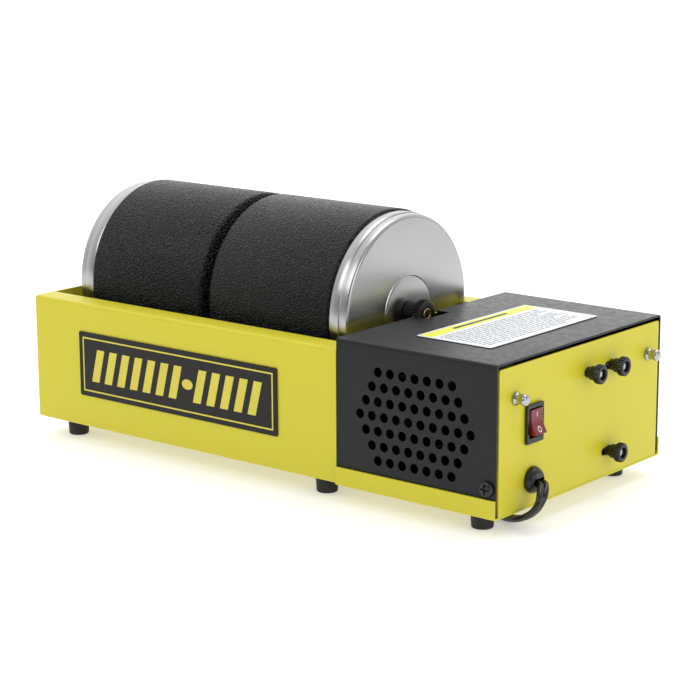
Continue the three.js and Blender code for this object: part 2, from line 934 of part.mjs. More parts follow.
add(machine, "tray", tray(), yellow);
add(machine, "divider_wall", dividerWall(), yellow);
add(machine, "motor_base", motorBase(), yellow);
add(machine, "motor_cover", motorCover(), black);
add(machine, "front_nameplate", frontNameplate(), plate);
add(machine, "top_label", topLabel(), paper);
add(machine, "cover_screw_front", coverScrew(-1), plastic);
add(machine, "cover_screw_back", coverScrew(1), plastic);
add(machine, "cord_post_front", cordPost(POSTS[0]), chrome);
add(machine, "cord_post_back", cordPost(POSTS[1]), chrome);

const FEET = { left: -320, middle: -123.4, right: -18.2 };
const FOOT_ROWS = { front: 14.2, back: 140 };
for (const [end, x] of Object.entries(FEET)) {
  for (const [row, y] of Object.entries(FOOT_ROWS)) {
    add(machine, `foot_${row}_${end}`, foot(x, y), rubber);
  }
}

add(machine, "switch_body", switchBody(), plastic);
add(machine, "switch_rocker", switchRocker(), red);
add(machine, "cord_bush", cordBush(), plastic);

add(machine, "stator_core", statorCore(), steel);
add(machine, "stator_coil", statorCoil(), copper);
add(machine, "motor_rotor", rotor(), steel);
add(machine, "motor_bracket_inner", motorBracket(-76, -73), aluminium);
add(machine, "motor_bracket_outer", motorBracket(-27, -24), aluminium);
add(machine, "cooling_fan", fan(), plastic);
add(machine, "motor_pulley", pulley(MOTOR_PITCH, 3 + GAP, MOTOR_Y, MOTOR_Z, 16), aluminium);
STUDS.forEach((stud, i) => {
  add(machine, `motor_stud_${i + 1}`, motorStud(stud), steel);
  add(machine, `thumb_nut_${i + 1}`, thumbNut(stud), plastic);
});

add(machine, "drive_shaft", rollerShaft(DRIVE_Y, -88.5), steel);
add(machine, "idler_shaft", rollerShaft(IDLER_Y, -101), steel);
add(machine, "drive_pulley", pulley(DRIVE_PITCH, SHAFT_RADIUS + GAP, DRIVE_Y, ROLLER_Z, 28), plastic);
add(machine, "drive_belt", driveBelt(), rubber);
for (const [name, y] of [
  ["drive", DRIVE_Y],
  ["idler", IDLER_Y],
]) {
  SLEEVES.forEach((span, i) => {
    add(machine, `${name}_roller_sleeve_${i + 1}`, rollerSleeve(y, span), rubber);
  });
  add(machine, `${name}_bearing_left`, bearing(-LENGTH, y, -1), nylon);
  add(machine, `${name}_bearing_right`, bearing(-MOTOR_LENGTH - 2 * GAP, y, 1), nylon);
}

[1, -1].forEach((side, i) => {
  const name = `barrel_${i + 1}`;
  add(machine, `${name}_body`, barrelBody(side), grained);
  add(machine, `${name}_inner_lid`, innerLid(side), steel);
  add(machine, `${name}_outer_lid`, outerLid(side), aluminium);
  add(machine, `${name}_knob`, lidKnob(side), plastic);
  add(machine, `${name}_knob_insert`, knobInsert(side), brass);
});

add(cords, "power_cord", cordTube(CORD_ROUTE), rubber);
add(cords, "cord_coil", cordCoil(), rubber);
add(cords, "cord_tail", cordTube(TAIL_ROUTE), rubber);
add(cords, "cord_tie", cordTie(), plastic);
add(cords, "mains_plug", plug(), plastic);

const footprint = new THREE.Box3().setFromObject(machine);
const centre = footprint.getCenter(new THREE.Vector3());
const tumbler = new THREE.Group();
tumbler.add(machine, cords);
tumbler.children.forEach((group) => {
  group.position.set(-centre.x, -centre.y, -footprint.min.z);
});

export default tumbler;
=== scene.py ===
"""Looks of the twin-barrel rock tumbler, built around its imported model."""

import math
import random

import bmesh
import bpy
from mathutils import Matrix, Vector


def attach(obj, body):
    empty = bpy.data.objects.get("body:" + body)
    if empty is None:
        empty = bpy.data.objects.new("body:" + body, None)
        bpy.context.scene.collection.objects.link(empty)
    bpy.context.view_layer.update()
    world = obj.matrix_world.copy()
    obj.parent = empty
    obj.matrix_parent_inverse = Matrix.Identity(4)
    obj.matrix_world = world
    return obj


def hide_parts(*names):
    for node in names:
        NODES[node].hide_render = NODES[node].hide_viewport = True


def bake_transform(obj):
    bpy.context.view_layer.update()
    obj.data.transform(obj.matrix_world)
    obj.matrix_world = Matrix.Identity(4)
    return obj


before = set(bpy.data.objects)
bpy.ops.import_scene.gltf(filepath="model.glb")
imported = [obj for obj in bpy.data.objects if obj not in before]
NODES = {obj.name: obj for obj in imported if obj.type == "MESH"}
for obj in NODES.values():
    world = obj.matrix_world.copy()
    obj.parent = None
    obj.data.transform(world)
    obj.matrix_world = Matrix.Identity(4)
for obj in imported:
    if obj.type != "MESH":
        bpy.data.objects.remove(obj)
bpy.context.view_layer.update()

# ---- sizes ----
# Design frame, in mm: x = 0 at the end panel, y = 0 at the front wall, z = 0 under the base.
# This is where its origin lies in the model's frame.
ORIGIN = Vector((165.8, -79.2, 10.0))

LENGTH, WIDTH = 339.0, 158.4
MOTOR_LENGTH = 105.0
SHEET = 1.2
HALF = SHEET / 2
TRAY_TOP, COVER_TOP, PANEL_TOP, LIP_TOP = 75.5, 81.6, 78.6, 10.6

BARREL_RADIUS, ROLLER_RADIUS = 57.15, 7.5
ROLLER_GAP = 0.3  # between a barrel and its rollers
ROLLER_OFFSET = 38  # of each roller's axis from the barrels' axis, across the machine
MID_Y, AXIS_Z = WIDTH / 2, 81.2
DRIVE_Y, IDLER_Y = MID_Y - ROLLER_OFFSET, MID_Y + ROLLER_OFFSET
ROLLER_Z = AXIS_Z - math.sqrt((BARREL_RADIUS + ROLLER_RADIUS + ROLLER_GAP) ** 2 - ROLLER_OFFSET**2)


def at(x, y, z):
    return (Vector((x, y, z)) + ORIGIN) / 1000


# ---- camera ----
AZIMUTH = math.radians(39.163)
ELEVATION = math.radians(12.95)
ROLL = math.radians(-0.216)

forward = Vector(
    (
        -math.sin(AZIMUTH) * math.cos(ELEVATION),
        math.cos(AZIMUTH) * math.cos(ELEVATION),
        -math.sin(ELEVATION),
    )
)
right = Vector((math.cos(AZIMUTH), math.sin(AZIMUTH), 0))
up = right.cross(forward)
right, up = (
    right * math.cos(ROLL) + up * math.sin(ROLL),
    up * math.cos(ROLL) - right * math.sin(ROLL),
)
camera = bpy.data.objects.new("camera", bpy.data.cameras.new("camera"))
camera.data.lens = 108.8
camera.data.sensor_width = 36
camera.data.clip_start = 0.05
place = Matrix((right, up, -forward)).transposed().to_4x4()
place.translation = at(595.0, -847.5, 327.6)
camera.matrix_world = place
bpy.context.scene.collection.objects.link(camera)
bpy.context.scene.camera = camera


# ---- materials ----
class Shader:
    """A Principled material whose colour, roughness and bump come from a few procedural nodes."""

    def __init__(self, name, color, roughness=0.5, metallic=0.0, **sockets):
        self.material = bpy.data.materials.new(name)
        self.material.use_nodes = True
        self.tree = self.material.node_tree
        self.surface = self.tree.nodes["Principled BSDF"]
        self.surface.inputs["Base Color"].default_value = (*linear(color), 1)
        self.surface.inputs["Roughness"].default_value = roughness
        self.surface.inputs["Metallic"].default_value = metallic
        for key, value in sockets.items():
            self.surface.inputs[key.replace("_", " ")].default_value = value
        self.place = self.tree.nodes.new("ShaderNodeTexCoord").outputs["Object"]
        self.height = None

    def node(self, kind, **settings):
        made = self.tree.nodes.new("ShaderNode" + kind)
        for key, value in settings.items():
            setattr(made, key, value)
        return made

    def link(self, a, b):
        self.tree.links.new(a, b)

    def stretched(self, x, y, z):
        """The object's coordinates, scaled, so a noise can run along one axis."""
        mapping = self.node("Mapping")
        mapping.inputs["Scale"].default_value = (x, y, z)
        self.link(self.place, mapping.inputs["Vector"])
        return mapping.outputs["Vector"]

    def noise(self, scale, detail=3.0, vector=None):
        made = self.node("TexNoise")
        made.inputs["Scale"].default_value = scale
        made.inputs["Detail"].default_value = detail
        self.link(vector or self.place, made.inputs["Vector"])
        return made.outputs["Fac"]

    def cells(self, scale, feature="F1", vector=None):
        made = self.node("TexVoronoi", feature=feature)
        made.inputs["Scale"].default_value = scale
        self.link(vector or self.place, made.inputs["Vector"])
        return made.outputs["Distance"]

    def ramp(self, value, low, high, a=0.0, b=1.0):
        made = self.node("MapRange")
        for key, number in zip(
            ("From Min", "From Max", "To Min", "To Max"), (low, high, a, b)
        ):
            made.inputs[key].default_value = number
        self.link(value, made.inputs["Value"])
        return made.outputs["Result"]

    def tint(self, value, other):
        """The base colour runs to another where value is 1."""
        mix = self.node("Mix", data_type="RGBA")
        self.link(value, mix.inputs[0])
        source = self.surface.inputs["Base Color"]
        if source.is_linked:
            self.link(source.links[0].from_socket, mix.inputs[6])
        else:
            mix.inputs[6].default_value = source.default_value
        mix.inputs[7].default_value = (*linear(other), 1)
        self.link(mix.outputs[2], source)

    def rough(self, value, a, b):
        self.link(self.ramp(value, 0.3, 0.7, a, b), self.surface.inputs["Roughness"])

    def bump(self, value, distance, strength=1.0):
        """Raises the surface by up to distance, in metres."""
        made = self.node("Bump")
        made.inputs["Strength"].default_value = strength
        made.inputs["Distance"].default_value = distance
        self.link(value, made.inputs["Height"])
        if self.height:
            self.link(self.height, made.inputs["Normal"])
        self.height = made.outputs["Normal"]
        self.link(self.height, self.surface.inputs["Normal"])


def linear(color):
    """An sRGB colour of 0 to 255 as Blender's linear one."""
    return tuple(
        (c / 255 / 12.92 if c <= 10 else ((c / 255 + 0.055) / 1.055) ** 2.4)
        for c in color
    )


def painted(name, color, roughness, grain, **sockets):
    shader = Shader(name, color, roughness, **sockets)
    fine = shader.noise(1400, 2)
    shader.bump(fine, grain)
    shader.tint(
        shader.ramp(shader.noise(9, 3), 0.35, 0.75, 0, 0.10),
        tuple(c * 0.9 for c in color),
    )
    shader.rough(shader.noise(300, 2), roughness - 0.05, roughness + 0.06)
    return shader.material


YELLOW = painted("yellow_powder_coat", (206, 196, 42), 0.42, 0.00002, Specular_IOR_Level=0.4)
DARK = painted("dark_powder_coat", (14, 17, 18), 0.35, 0.00005, Specular_IOR_Level=0.28)


# Painted shade: the faces inside the motor room are near black, so the vents look dark.
MOTOR_ROOM_SHADE = painted("painted_shade_inside", (30, 30, 31), 0.7, 0.00002, Specular_IOR_Level=0.2)


def plain(name, color, roughness, grain=0.00002, scale=1500, **sockets):
    shader = Shader(name, color, roughness, **sockets)
    value = shader.noise(scale, 3)
    shader.bump(value, grain)
    shader.rough(shader.noise(scale / 6, 2), roughness - 0.06, roughness + 0.06)
    shader.tint(shader.ramp(shader.noise(60, 2), 0.4, 0.8, 0, 0.15), tuple(c * 1.25 for c in color))
    return shader.material


PLASTIC = plain("black_plastic", (15, 15, 16), 0.36)
FAN = plain("fan_plastic", (34, 36, 40), 0.45)
NYLON = plain("nylon", (222, 218, 205), 0.45)
RUBBER = plain("black_rubber", (16, 16, 17), 0.6, 0.00004, 1200)
CORD = plain("cord_rubber", (14, 14, 15), 0.24, 0.000006)
PLATE = plain("nameplate", (22, 20, 16), 0.4, Specular_IOR_Level=0.25)
INK = plain("nameplate_ink", (206, 193, 60), 0.4)
LABEL = plain("label_film", (213, 216, 218), 0.42)
LABEL_INK = plain("label_ink", (120, 122, 126), 0.5)
LABEL_BAND = plain("label_band", (222, 226, 60), 0.42)
WHITE = plain("mark_white", (235, 232, 228), 0.4)
RED = plain(
    "red_rocker", (112, 10, 15), 0.28, 0.000005, Coat_Weight=0.1, Coat_Roughness=0.08
)


def grained():
    """Rubber moulded with a leather grain: flat pebbles with creases between them."""
    shader = Shader("grained_rubber", (33, 35, 38), 0.5, Specular_IOR_Level=0.22)
    warp = shader.node("VectorMath", operation="ADD")
    shift = shader.node("VectorMath", operation="SCALE")
    field = shader.node("TexNoise")
    field.inputs["Scale"].default_value = 260
    shader.link(shader.place, field.inputs["Vector"])
    shader.link(field.outputs["Color"], shift.inputs[0])
    shift.inputs["Scale"].default_value = 0.0016
    shader.link(shader.place, warp.inputs[0])
    shader.link(shift.outputs[0], warp.inputs[1])
    creases = shader.cells(560, "DISTANCE_TO_EDGE", warp.outputs[0])
    pebble = shader.ramp(creases, 0.04, 0.34)
    shader.bump(pebble, 0.0009, 1.0)
    shader.bump(shader.noise(1900, 2), 0.00012, 0.6)
    # Painted shade and highlight: the creases are painted near black and the pebble tops stay lighter
    # grey.
    shader.tint(shader.ramp(pebble, 0.1, 0.9, 1.0, 0.0), (3, 3, 4))
    shader.rough(shader.noise(900, 2), 0.26, 0.38)
    return shader.material


GRAINED = grained()


def turned_metal(name, color, roughness):
    """Sheet metal that was brushed as it turned about the barrels' axis."""
    shader = Shader(name, color, roughness, 1.0, Anisotropic=0.3)
    tangent = shader.node("Tangent", direction_type="RADIAL", axis="X")
    shader.link(tangent.outputs[0], shader.surface.inputs["Tangent"])
    centre = shader.node("VectorMath", operation="SUBTRACT")
    shader.link(shader.place, centre.inputs[0])
    centre.inputs[1].default_value = at(0, MID_Y, AXIS_Z)
    flat = shader.node("VectorMath", operation="MULTIPLY")
    flat.inputs[1].default_value = (0, 1, 1)
    shader.link(centre.outputs[0], flat.inputs[0])
    radius = shader.node("VectorMath", operation="LENGTH")
    shader.link(flat.outputs[0], radius.inputs[0])
    rings = shader.node("TexNoise", noise_dimensions="1D")
    rings.inputs["Scale"].default_value = 3200
    rings.inputs["Detail"].default_value = 4
    shader.link(radius.outputs["Value"], rings.inputs["W"])
    shader.bump(rings.outputs["Fac"], 0.000002)
    shader.rough(rings.outputs["Fac"], roughness - 0.02, roughness + 0.03)
    shader.tint(shader.ramp(shader.noise(25, 3), 0.4, 0.75, 0, 0.2), tuple(c * 0.88 for c in color))
    return shader.material


LID_METAL = turned_metal("brushed_aluminium", (176, 176, 177), 0.23)


def metal(name, color, roughness, stretch=(1, 40, 40)):
    shader = Shader(name, color, roughness, 1.0)
    lines = shader.noise(60, 4, shader.stretched(*stretch))
    shader.bump(lines, 0.000008)
    shader.rough(lines, roughness - 0.07, roughness + 0.1)
    shader.tint(shader.ramp(shader.noise(40, 2), 0.4, 0.8, 0, 0.25), tuple(c * 0.85 for c in color))
    return shader.material


STEEL = metal("drawn_steel", (176, 178, 182), 0.3)
CAST = metal("bracket_aluminium", (188, 190, 192), 0.42, (30, 30, 30))
CHROME = metal("chrome", (176, 178, 182), 0.10)
BRASS = metal("turned_brass", (176, 158, 120), 0.34)


def windings():
    shader = Shader("copper_winding", (150, 82, 40), 0.35, 0.8, Coat_Weight=0.4)
    wave = shader.node("TexWave", bands_direction="Y")
    wave.inputs["Scale"].default_value = 700
    wave.inputs["Distortion"].default_value = 0.4
    shader.link(shader.place, wave.inputs["Vector"])
    shader.bump(wave.outputs["Fac"], 0.0002)
    shader.tint(shader.ramp(wave.outputs["Fac"], 0, 0.5, 0.7, 0), (60, 28, 14))
    return shader.material


def laminations():
    shader = Shader("laminated_steel", (122, 124, 128), 0.45, 0.9)
    wave = shader.node("TexWave", bands_direction="X")
    wave.inputs["Scale"].default_value = 620
    wave.inputs["Distortion"].default_value = 0.1
    shader.link(shader.place, wave.inputs["Vector"])
    shader.bump(wave.outputs["Fac"], 0.0001)
    shader.tint(shader.ramp(wave.outputs["Fac"], 0, 0.4, 0.6, 0), (52, 50, 50))
    return shader.material


COPPER = windings()
LAMINATED = laminations()


# ---- pieces ----
def piece(name, points, faces, body, material, sharp=30):
    """A mesh from points in design millimetres, riding on a body."""
    mesh = bpy.data.meshes.new(name)
    mesh.from_pydata([at(*p) for p in points], [], faces)
    made = bmesh.new()
    made.from_mesh(mesh)
    bmesh.ops.remove_doubles(made, verts=made.verts, dist=1e-7)
    bmesh.ops.recalc_face_normals(made, faces=made.faces)
    made.to_mesh(mesh)
    made.free()
    mesh.shade_smooth()
    mesh.set_sharp_from_angle(angle=math.radians(sharp))
    obj = bpy.data.objects.new(name, mesh)
    obj.data.materials.append(material)
    bpy.context.scene.collection.objects.link(obj)
    if body:
        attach(obj, body)
    return obj


def stands_for(obj, slot, *nodes):
    """Hides the nodes that a piece replaces; the slot argument is not used."""
    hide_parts(*nodes)
    return obj


def joined(name, parts, body):
    """One piece made of several."""
    mesh = bpy.data.meshes.new(name)
    made = bmesh.new()
    materials = []
    for part in parts:
        first = len(made.faces)
        made.from_mesh(part.data)
        made.faces.ensure_lookup_table()
        slots = []
        for m in part.data.materials:
            if m not in materials:
                materials.append(m)
            slots.append(materials.index(m))
        for face in list(made.faces)[first:]:
            face.material_index = slots[face.material_index]
    made.to_mesh(mesh)
    made.free()
    for m in materials:
        mesh.materials.append(m)
    for part in parts:
        bpy.data.objects.remove(part)
    obj = bpy.data.objects.new(name, mesh)
    bpy.context.scene.collection.objects.link(obj)
    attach(obj, body)
    return obj


def placed(axis, a, b, along):
    """A point from its place along an axis and its other two coordinates, in order x, y, z."""
    return {"x": (along, a, b), "y": (a, along, b), "z": (a, b, along)}[axis]


def lathe(name, profile, centre, body, material, sign=1, sides=96, axis="x", ripple=None):
    """A turned piece. profile is a closed loop of (radius, distance along the axis), and
    ripple(radius, angle) gives a radius that varies round the axis."""
    points, faces = [], []
    count = len(profile)
    for i in range(sides):
        angle = 2 * math.pi * i / sides
        for r, u in profile:
            if ripple:
                r = ripple(r, angle)
            x, y, z = placed(axis, r * math.cos(angle), r * math.sin(angle), sign * u)
            points.append((centre[0] + x, centre[1] + y, centre[2] + z))
    for i in range(sides):
        j = (i + 1) % sides
        for k in range(count):
            m = (k + 1) % count
            quad = [i * count + k, i * count + m, j * count + m, j * count + k]
            if profile[k][0] == 0 and profile[m][0] == 0:
                continue
            if profile[k][0] == 0:
                quad = [i * count + k, i * count + m, j * count + m]
            elif profile[m][0] == 0:
                quad = [i * count + k, i * count + m, j * count + k]
            faces.append(quad)
    return piece(name, points, faces, body, material)


def rounded(profile, radius, steps=3):
    """A closed profile with its corners rounded, apart from those on the axis."""
    made = []
    count = len(profile)
    for i, p in enumerate(profile):
        if p[0] == 0:
            made.append(p)
            continue
        here = Vector(p)
        before, after = Vector(profile[i - 1]), Vector(profile[(i + 1) % count])
        a, b = before - here, after - here
        reach = min(radius, a.length * 0.45, b.length * 0.45)
        start, end = here + a.normalized() * reach, here + b.normalized() * reach
        for k in range(steps + 1):
            t = k / steps
            q = start * (1 - t) ** 2 + here * 2 * t * (1 - t) + end * t**2
            made.append((q.x, q.y))
    return made


def corners(a0, b0, a1, b1):
    """A rectangle's outline from two opposite corners."""
    return [(a0, b0), (a1, b0), (a1, b1), (a0, b1)]


def prism_faces(count):
    """The ends and sides of a prism whose outline has count points."""
    ends = [list(range(count)), list(range(count, 2 * count))]
    return ends + [[k, (k + 1) % count, count + (k + 1) % count, count + k] for k in range(count)]


def extruded(name, outline, low, high, axis, body, material, sharp=30):
    """A prism: outline's two coordinates are the other two axes, in order x, y, z."""
    points = [placed(axis, a, b, end) for end in (low, high) for a, b in outline]
    return piece(name, points, prism_faces(len(outline)), body, material, sharp)


def frame_loop(name, outer, inner, low, high, axis, body, material, sharp=30):
    """A closed frame between two outlines with the same number of points."""
    points = [placed(axis, a, b, end) for end in (low, high) for a, b in (*outer, *inner)]
    count = len(outer)
    faces = []
    for k in range(count):
        m = (k + 1) % count
        faces.append([k, m, 2 * count + m, 2 * count + k])
        faces.append([count + k, count + m, 3 * count + m, 3 * count + k])
        faces.append([k, m, count + m, count + k])
        faces.append([2 * count + k, 2 * count + m, 3 * count + m, 3 * count + k])
    return piece(name, points, faces, body, material, sharp)


def tube_faces(rings, sides, closed=False):
    """The faces between rings of points, and over both ends of a tube that isn't closed."""
    faces = []
    for i in range(rings if closed else rings - 1):
        j = (i + 1) % rings
        for k in range(sides):
            m = (k + 1) % sides
            faces.append([i * sides + k, i * sides + m, j * sides + m, j * sides + k])
    if not closed:
        faces.append(list(range(sides)))
        faces.append(list(range((rings - 1) * sides, rings * sides)))
    return faces


def folded(line, thickness, bend, steps=6):
    """The outline of a bent sheet whose middle follows line; bend is the inner radius of a fold."""
    half = thickness / 2
    sides = ([], [])
    line = [Vector(p) for p in line]
    for i, here in enumerate(line):
        if i in (0, len(line) - 1):
            along = (line[1] - here if i == 0 else here - line[-2]).normalized()
            normal = Vector((-along.y, along.x))
            sides[0].append(here + normal * half)
            sides[1].append(here - normal * half)
            continue
        a, b = (here - line[i - 1]).normalized(), (line[i + 1] - here).normalized()
        turn = math.atan2(a.x * b.y - a.y * b.x, a.dot(b))
        normal = Vector((-a.y, a.x))
        side = 1 if turn > 0 else -1
        radius = bend + half
        reach = radius * math.tan(abs(turn) / 2)
        pivot = here - a * reach + normal * side * radius
        for k in range(steps + 1):
            spin = Matrix.Rotation(turn * k / steps, 2)
            out = spin @ (-normal * side)
            sides[0].append(pivot + out * (radius - side * half))
            sides[1].append(pivot + out * (radius + side * half))
    return [tuple(p) for p in sides[0]] + [tuple(p) for p in reversed(sides[1])]


def applied(obj):
    """obj with its modifiers made part of its mesh."""
    bpy.context.view_layer.update()
    shaped = obj.evaluated_get(bpy.context.evaluated_depsgraph_get())
    mesh = bpy.data.meshes.new_from_object(shaped)
    obj.modifiers.clear()
    obj.data = mesh
    return obj


def softened(obj, width, segments=2, angle=30):
    """Bevels the edges that are sharper than angle, in degrees; width is in mm."""
    edge = obj.modifiers.new("edge", "BEVEL")
    edge.width = width / 1000
    edge.segments = segments
    edge.limit_method = "ANGLE"
    edge.angle_limit = math.radians(angle)
    return obj


def drilled(obj, cutters):
    """obj with the cutters' shapes taken out."""
    tool = cutters[0]
    if len(cutters) > 1:
        made = bmesh.new()
        for c in cutters:
            made.from_mesh(c.data)
        made.to_mesh(tool.data)
        made.free()
    hole = obj.modifiers.new("holes", "BOOLEAN")
    hole.object = tool
    hole.solver = "EXACT"
    applied(obj)
    for c in cutters:
        bpy.data.objects.remove(c)
    obj.data.shade_smooth()
    obj.data.set_sharp_from_angle(angle=math.radians(30))
    return obj


def arc(a, b, rx, ry, start, sweep, steps):
    """Points round an ellipse's arc, with both its ends."""
    angles = [start + sweep * k / steps for k in range(steps + 1)]
    return [(a + rx * math.cos(t), b + ry * math.sin(t)) for t in angles]


def circle(a, b, r, sides=24):
    return arc(a, b, r, r, 0, 2 * math.pi, sides)[:-1]


def cutter(outline, low, high, axis="x"):
    return extruded("cutter", outline, low, high, axis, None, YELLOW)


def block(low, high, material=YELLOW, name="cutter", body=None):
    return extruded(name, corners(*low[1:], *high[1:]), low[0], high[0], "x", body, material)


def cylinder(axis, a, b, r, low, high, sides=24):
    return cutter(circle(a, b, r, sides), low, high, axis)


# ---- cord: flat, with two cores ----
CORD_WIDTH, CORD_THICK = 6.8, 3.5
EXIT = (5.8, 32, 14.2)
FLOOR_Z = -8.2  # of the cord's middle where it lies flat
route = [
    EXIT,
    (7.8, 31, 13.9),
    (9.8, 28.6, 12.6),
    (11.4, 25.4, 10.4),
    (12.2, 22.8, 7.4),
    (11, 21.4, 3.8),
    (7.8, 21.2, 0.4),
    (2.8, 22.4, -2.8),
    (-3.9, 25, -5.6),
    (-12, 29, -7.6),
    (-20, 33, FLOOR_Z + 0.1),
    (-28, 38, FLOOR_Z),
    (-42, 54, FLOOR_Z),
    (-56, 78, FLOOR_Z),
    (-70, 106, FLOOR_Z),
    (-84, 132, FLOOR_Z),
    (-100, 152, FLOOR_Z),
    (-117, 164, FLOOR_Z),
    (-136, 169.6, FLOOR_Z + 1.2),
    (-154.5, 170.2, -5.9),
]
FREE_POINTS = len(route)

# The coil: the cord stands on its edge, winds inwards on the floor and then outwards on top.
COIL = Vector((-163, 218.5, 0))
TURNS, PER_TURN = 6, 28
START_ANGLE = math.radians(-80)
OUTER_RADIUS, TURN_STEP, TURNS_INWARD = 43.2, 3.7, 2.05
ENTRY_STEP, ENTRY_TURN = 5.2, 0.22
LOWER_Z, LAYER_STEP = -5.5, 6.95
CLIMB_FROM, CLIMB_TURN = 2.9, 0.3
for k in range(1, TURNS * PER_TURN + 1):
    turn = k / PER_TURN
    inward = min(turn, TURNS + 0.05 - turn, TURNS_INWARD)
    entry = 1 - min(turn / ENTRY_TURN, 1)
    radius = OUTER_RADIUS - TURN_STEP * inward + ENTRY_STEP * entry**2
    climbed = min(max(turn - CLIMB_FROM, 0) / CLIMB_TURN, 1)
    angle = START_ANGLE - 2 * math.pi * turn
    x, y = COIL.x + radius * math.cos(angle), COIL.y + radius * math.sin(angle)
    route.append((x, y, LOWER_Z + LAYER_STEP * climbed))
route += [
    (-211.5, 227, 1),
    (-214, 238, -0.8),
    (-217.6, 248.5, -3.8),
    (-224, 257.5, -5.6),
    (-231.5, 263, -4.2),
    (-238, 264, -2.9),
]


def catmull(points, per):
    """Points along a centripetal Catmull-Rom curve."""
    pts = [Vector(p) for p in points]
    pts = [pts[0] * 2 - pts[1], *pts, pts[-1] * 2 - pts[-2]]
    made = []
    for i in range(1, len(pts) - 2):
        p0, p1, p2, p3 = pts[i - 1 : i + 3]
        t0, t1 = 0.0, (p1 - p0).length ** 0.5
        t2 = t1 + (p2 - p1).length ** 0.5
        t3 = t2 + (p3 - p2).length ** 0.5
        for k in range(per):
            t = t1 + (t2 - t1) * k / per
            a1 = p0 * ((t1 - t) / (t1 - t0)) + p1 * ((t - t0) / (t1 - t0))
            a2 = p1 * ((t2 - t) / (t2 - t1)) + p2 * ((t - t1) / (t2 - t1))
            a3 = p2 * ((t3 - t) / (t3 - t2)) + p3 * ((t - t2) / (t3 - t2))
            b1 = a1 * ((t2 - t) / (t2 - t0)) + a2 * ((t - t0) / (t2 - t0))
            b2 = a2 * ((t3 - t) / (t3 - t1)) + a3 * ((t - t1) / (t3 - t1))
            made.append(b1 * ((t2 - t) / (t2 - t1)) + b2 * ((t - t1) / (t2 - t1)))
    return [*made, pts[-2]]


PER_POINT = 4  # points of the smooth line for each point of the route
line = catmull(route, PER_POINT)
for _ in range(6):
    free = range(1, PER_POINT * FREE_POINTS)
    eased = [(line[i - 1] + line[i] * 2 + line[i + 1]) / 4 for i in free]
    line = [line[0], *eased, *line[free.stop :]]


def section(sides=28):
    """The cord's section as (across, through) points: two round cores with a groove between."""
    made = []
    core = CORD_THICK / 2
    offset = CORD_WIDTH / 2 - core
    groove = 0.85
    for k in range(sides):
        angle = 2 * math.pi * k / sides
        across, through = math.cos(angle) * CORD_WIDTH / 2, math.sin(angle)
        x = abs(across)
        bulge = math.sqrt(max(core**2 - (x - offset) ** 2, 0))
        bulge = max(bulge, groove if x < offset else 0)
        made.append((across, math.copysign(bulge, through) if abs(through) > 1e-6 else 0.0))
    return made


def cord_mesh():
    """The cord keeps its flat side level, and turns on its edge where it enters the coil."""
    shape = section()
    points = []
    sideways, upwards = Vector((0, 1, 0)), Vector((0, 0, 1))
    hanging = 11 * PER_POINT
    turn_from, turn_to = PER_POINT * FREE_POINTS - 14, PER_POINT * FREE_POINTS + 3
    for i, p in enumerate(line):
        along = (line[min(i + 1, len(line) - 1)] - line[max(i - 1, 0)]).normalized()
        level = upwards.cross(along)
        if i < hanging:
            wide = (sideways - along * sideways.dot(along)).normalized()
            flatness = min(max((level.length - 0.6) / 0.3, 0), 1)
            if flatness > 0:
                level = level.normalized() * (1 if level.dot(wide) > 0 else -1)
                wide = wide.lerp(level, flatness * i / hanging).normalized()
        else:
            wide = level.normalized() * (1 if level.dot(previous) > 0 else -1)
        previous = wide
        upright = along.cross(wide)
        angle = math.pi / 2 * min(max((i - turn_from) / (turn_to - turn_from), 0), 1)
        cos, sin = math.cos(angle), math.sin(angle)
        wide, thick = wide * cos + upright * sin, upright * cos - wide * sin
        points += [p + wide * w + thick * t for w, t in shape]
    faces = tube_faces(len(line), len(shape))
    return piece("mains_cord", points, faces, "chassis", CORD, 60)


cord = cord_mesh()
stands_for(cord, "cord_rubber", "power_cord", "cord_coil", "cord_tail")

PLUG = Vector((-238.8, 264, -2.9))


def make_plug():
    """A moulded two-blade plug with a waisted grip."""
    sides = 28
    squareness = 0.55
    # distance from the cord, half-width and half-height
    stations = [
        (0, 3.6, 3.8), (3, 3.8, 4.0), (8, 4.4, 4.6), (10.5, 7.2, 5.8),
        (13, 8.4, 6.5), (20, 8.6, 6.6), (25.6, 8.5, 6.5), (27, 7.9, 5.9),
    ]
    points = []
    for x, w, h in stations:
        for k in range(sides):
            angle = 2 * math.pi * k / sides
            c, s = math.cos(angle), math.sin(angle)
            y = w * math.copysign(abs(c) ** squareness, c)
            z = h * math.copysign(abs(s) ** squareness, s)
            points.append((PLUG.x - x, PLUG.y + y, PLUG.z + z))
    faces = tube_faces(len(stations), sides)
    grip = piece("plug_body", points, faces, "chassis", PLASTIC, 50)
    upper = [(27, 3), (41, 3), (43, 1.6)]
    side_view = [*upper, *[(x, -z) for x, z in reversed(upper)]]
    outline = [(PLUG.x - x, PLUG.z + z) for x, z in side_view]
    half = 0.75
    blades = []
    for y in (PLUG.y - 6.35, PLUG.y + 6.35):
        blade = extruded("blade", outline, y - half, y + half, "y", "chassis", STEEL)
        hole = cylinder("y", PLUG.x - 38.5, PLUG.z, 1.2, y - 3, y + 3, 16)
        blades.append(drilled(blade, [hole]))
    return joined("plug", [grip, *blades], "chassis")


plug = stands_for(make_plug(), "black_plastic", "mains_plug")


def make_tie():
    """A thin strap round the coil's bundle."""
    x0, x1 = COIL.x + 33.2, COIL.x + 45.4
    z0, z1 = -9.3, 5.3
    thick, half = 0.5, 3
    outer = rounded(corners(x0 - thick, z0 - thick, x1 + thick, z1 + thick), 2.2, 5)
    inner = rounded(corners(x0, z0, x1, z1), 1.8, 5)
    low, high = COIL.y - half, COIL.y + half
    return frame_loop("coil_strap", outer, inner, low, high, "y", "chassis", PLASTIC, 40)


tie = stands_for(make_tie(), "black_plastic", "cord_tie")

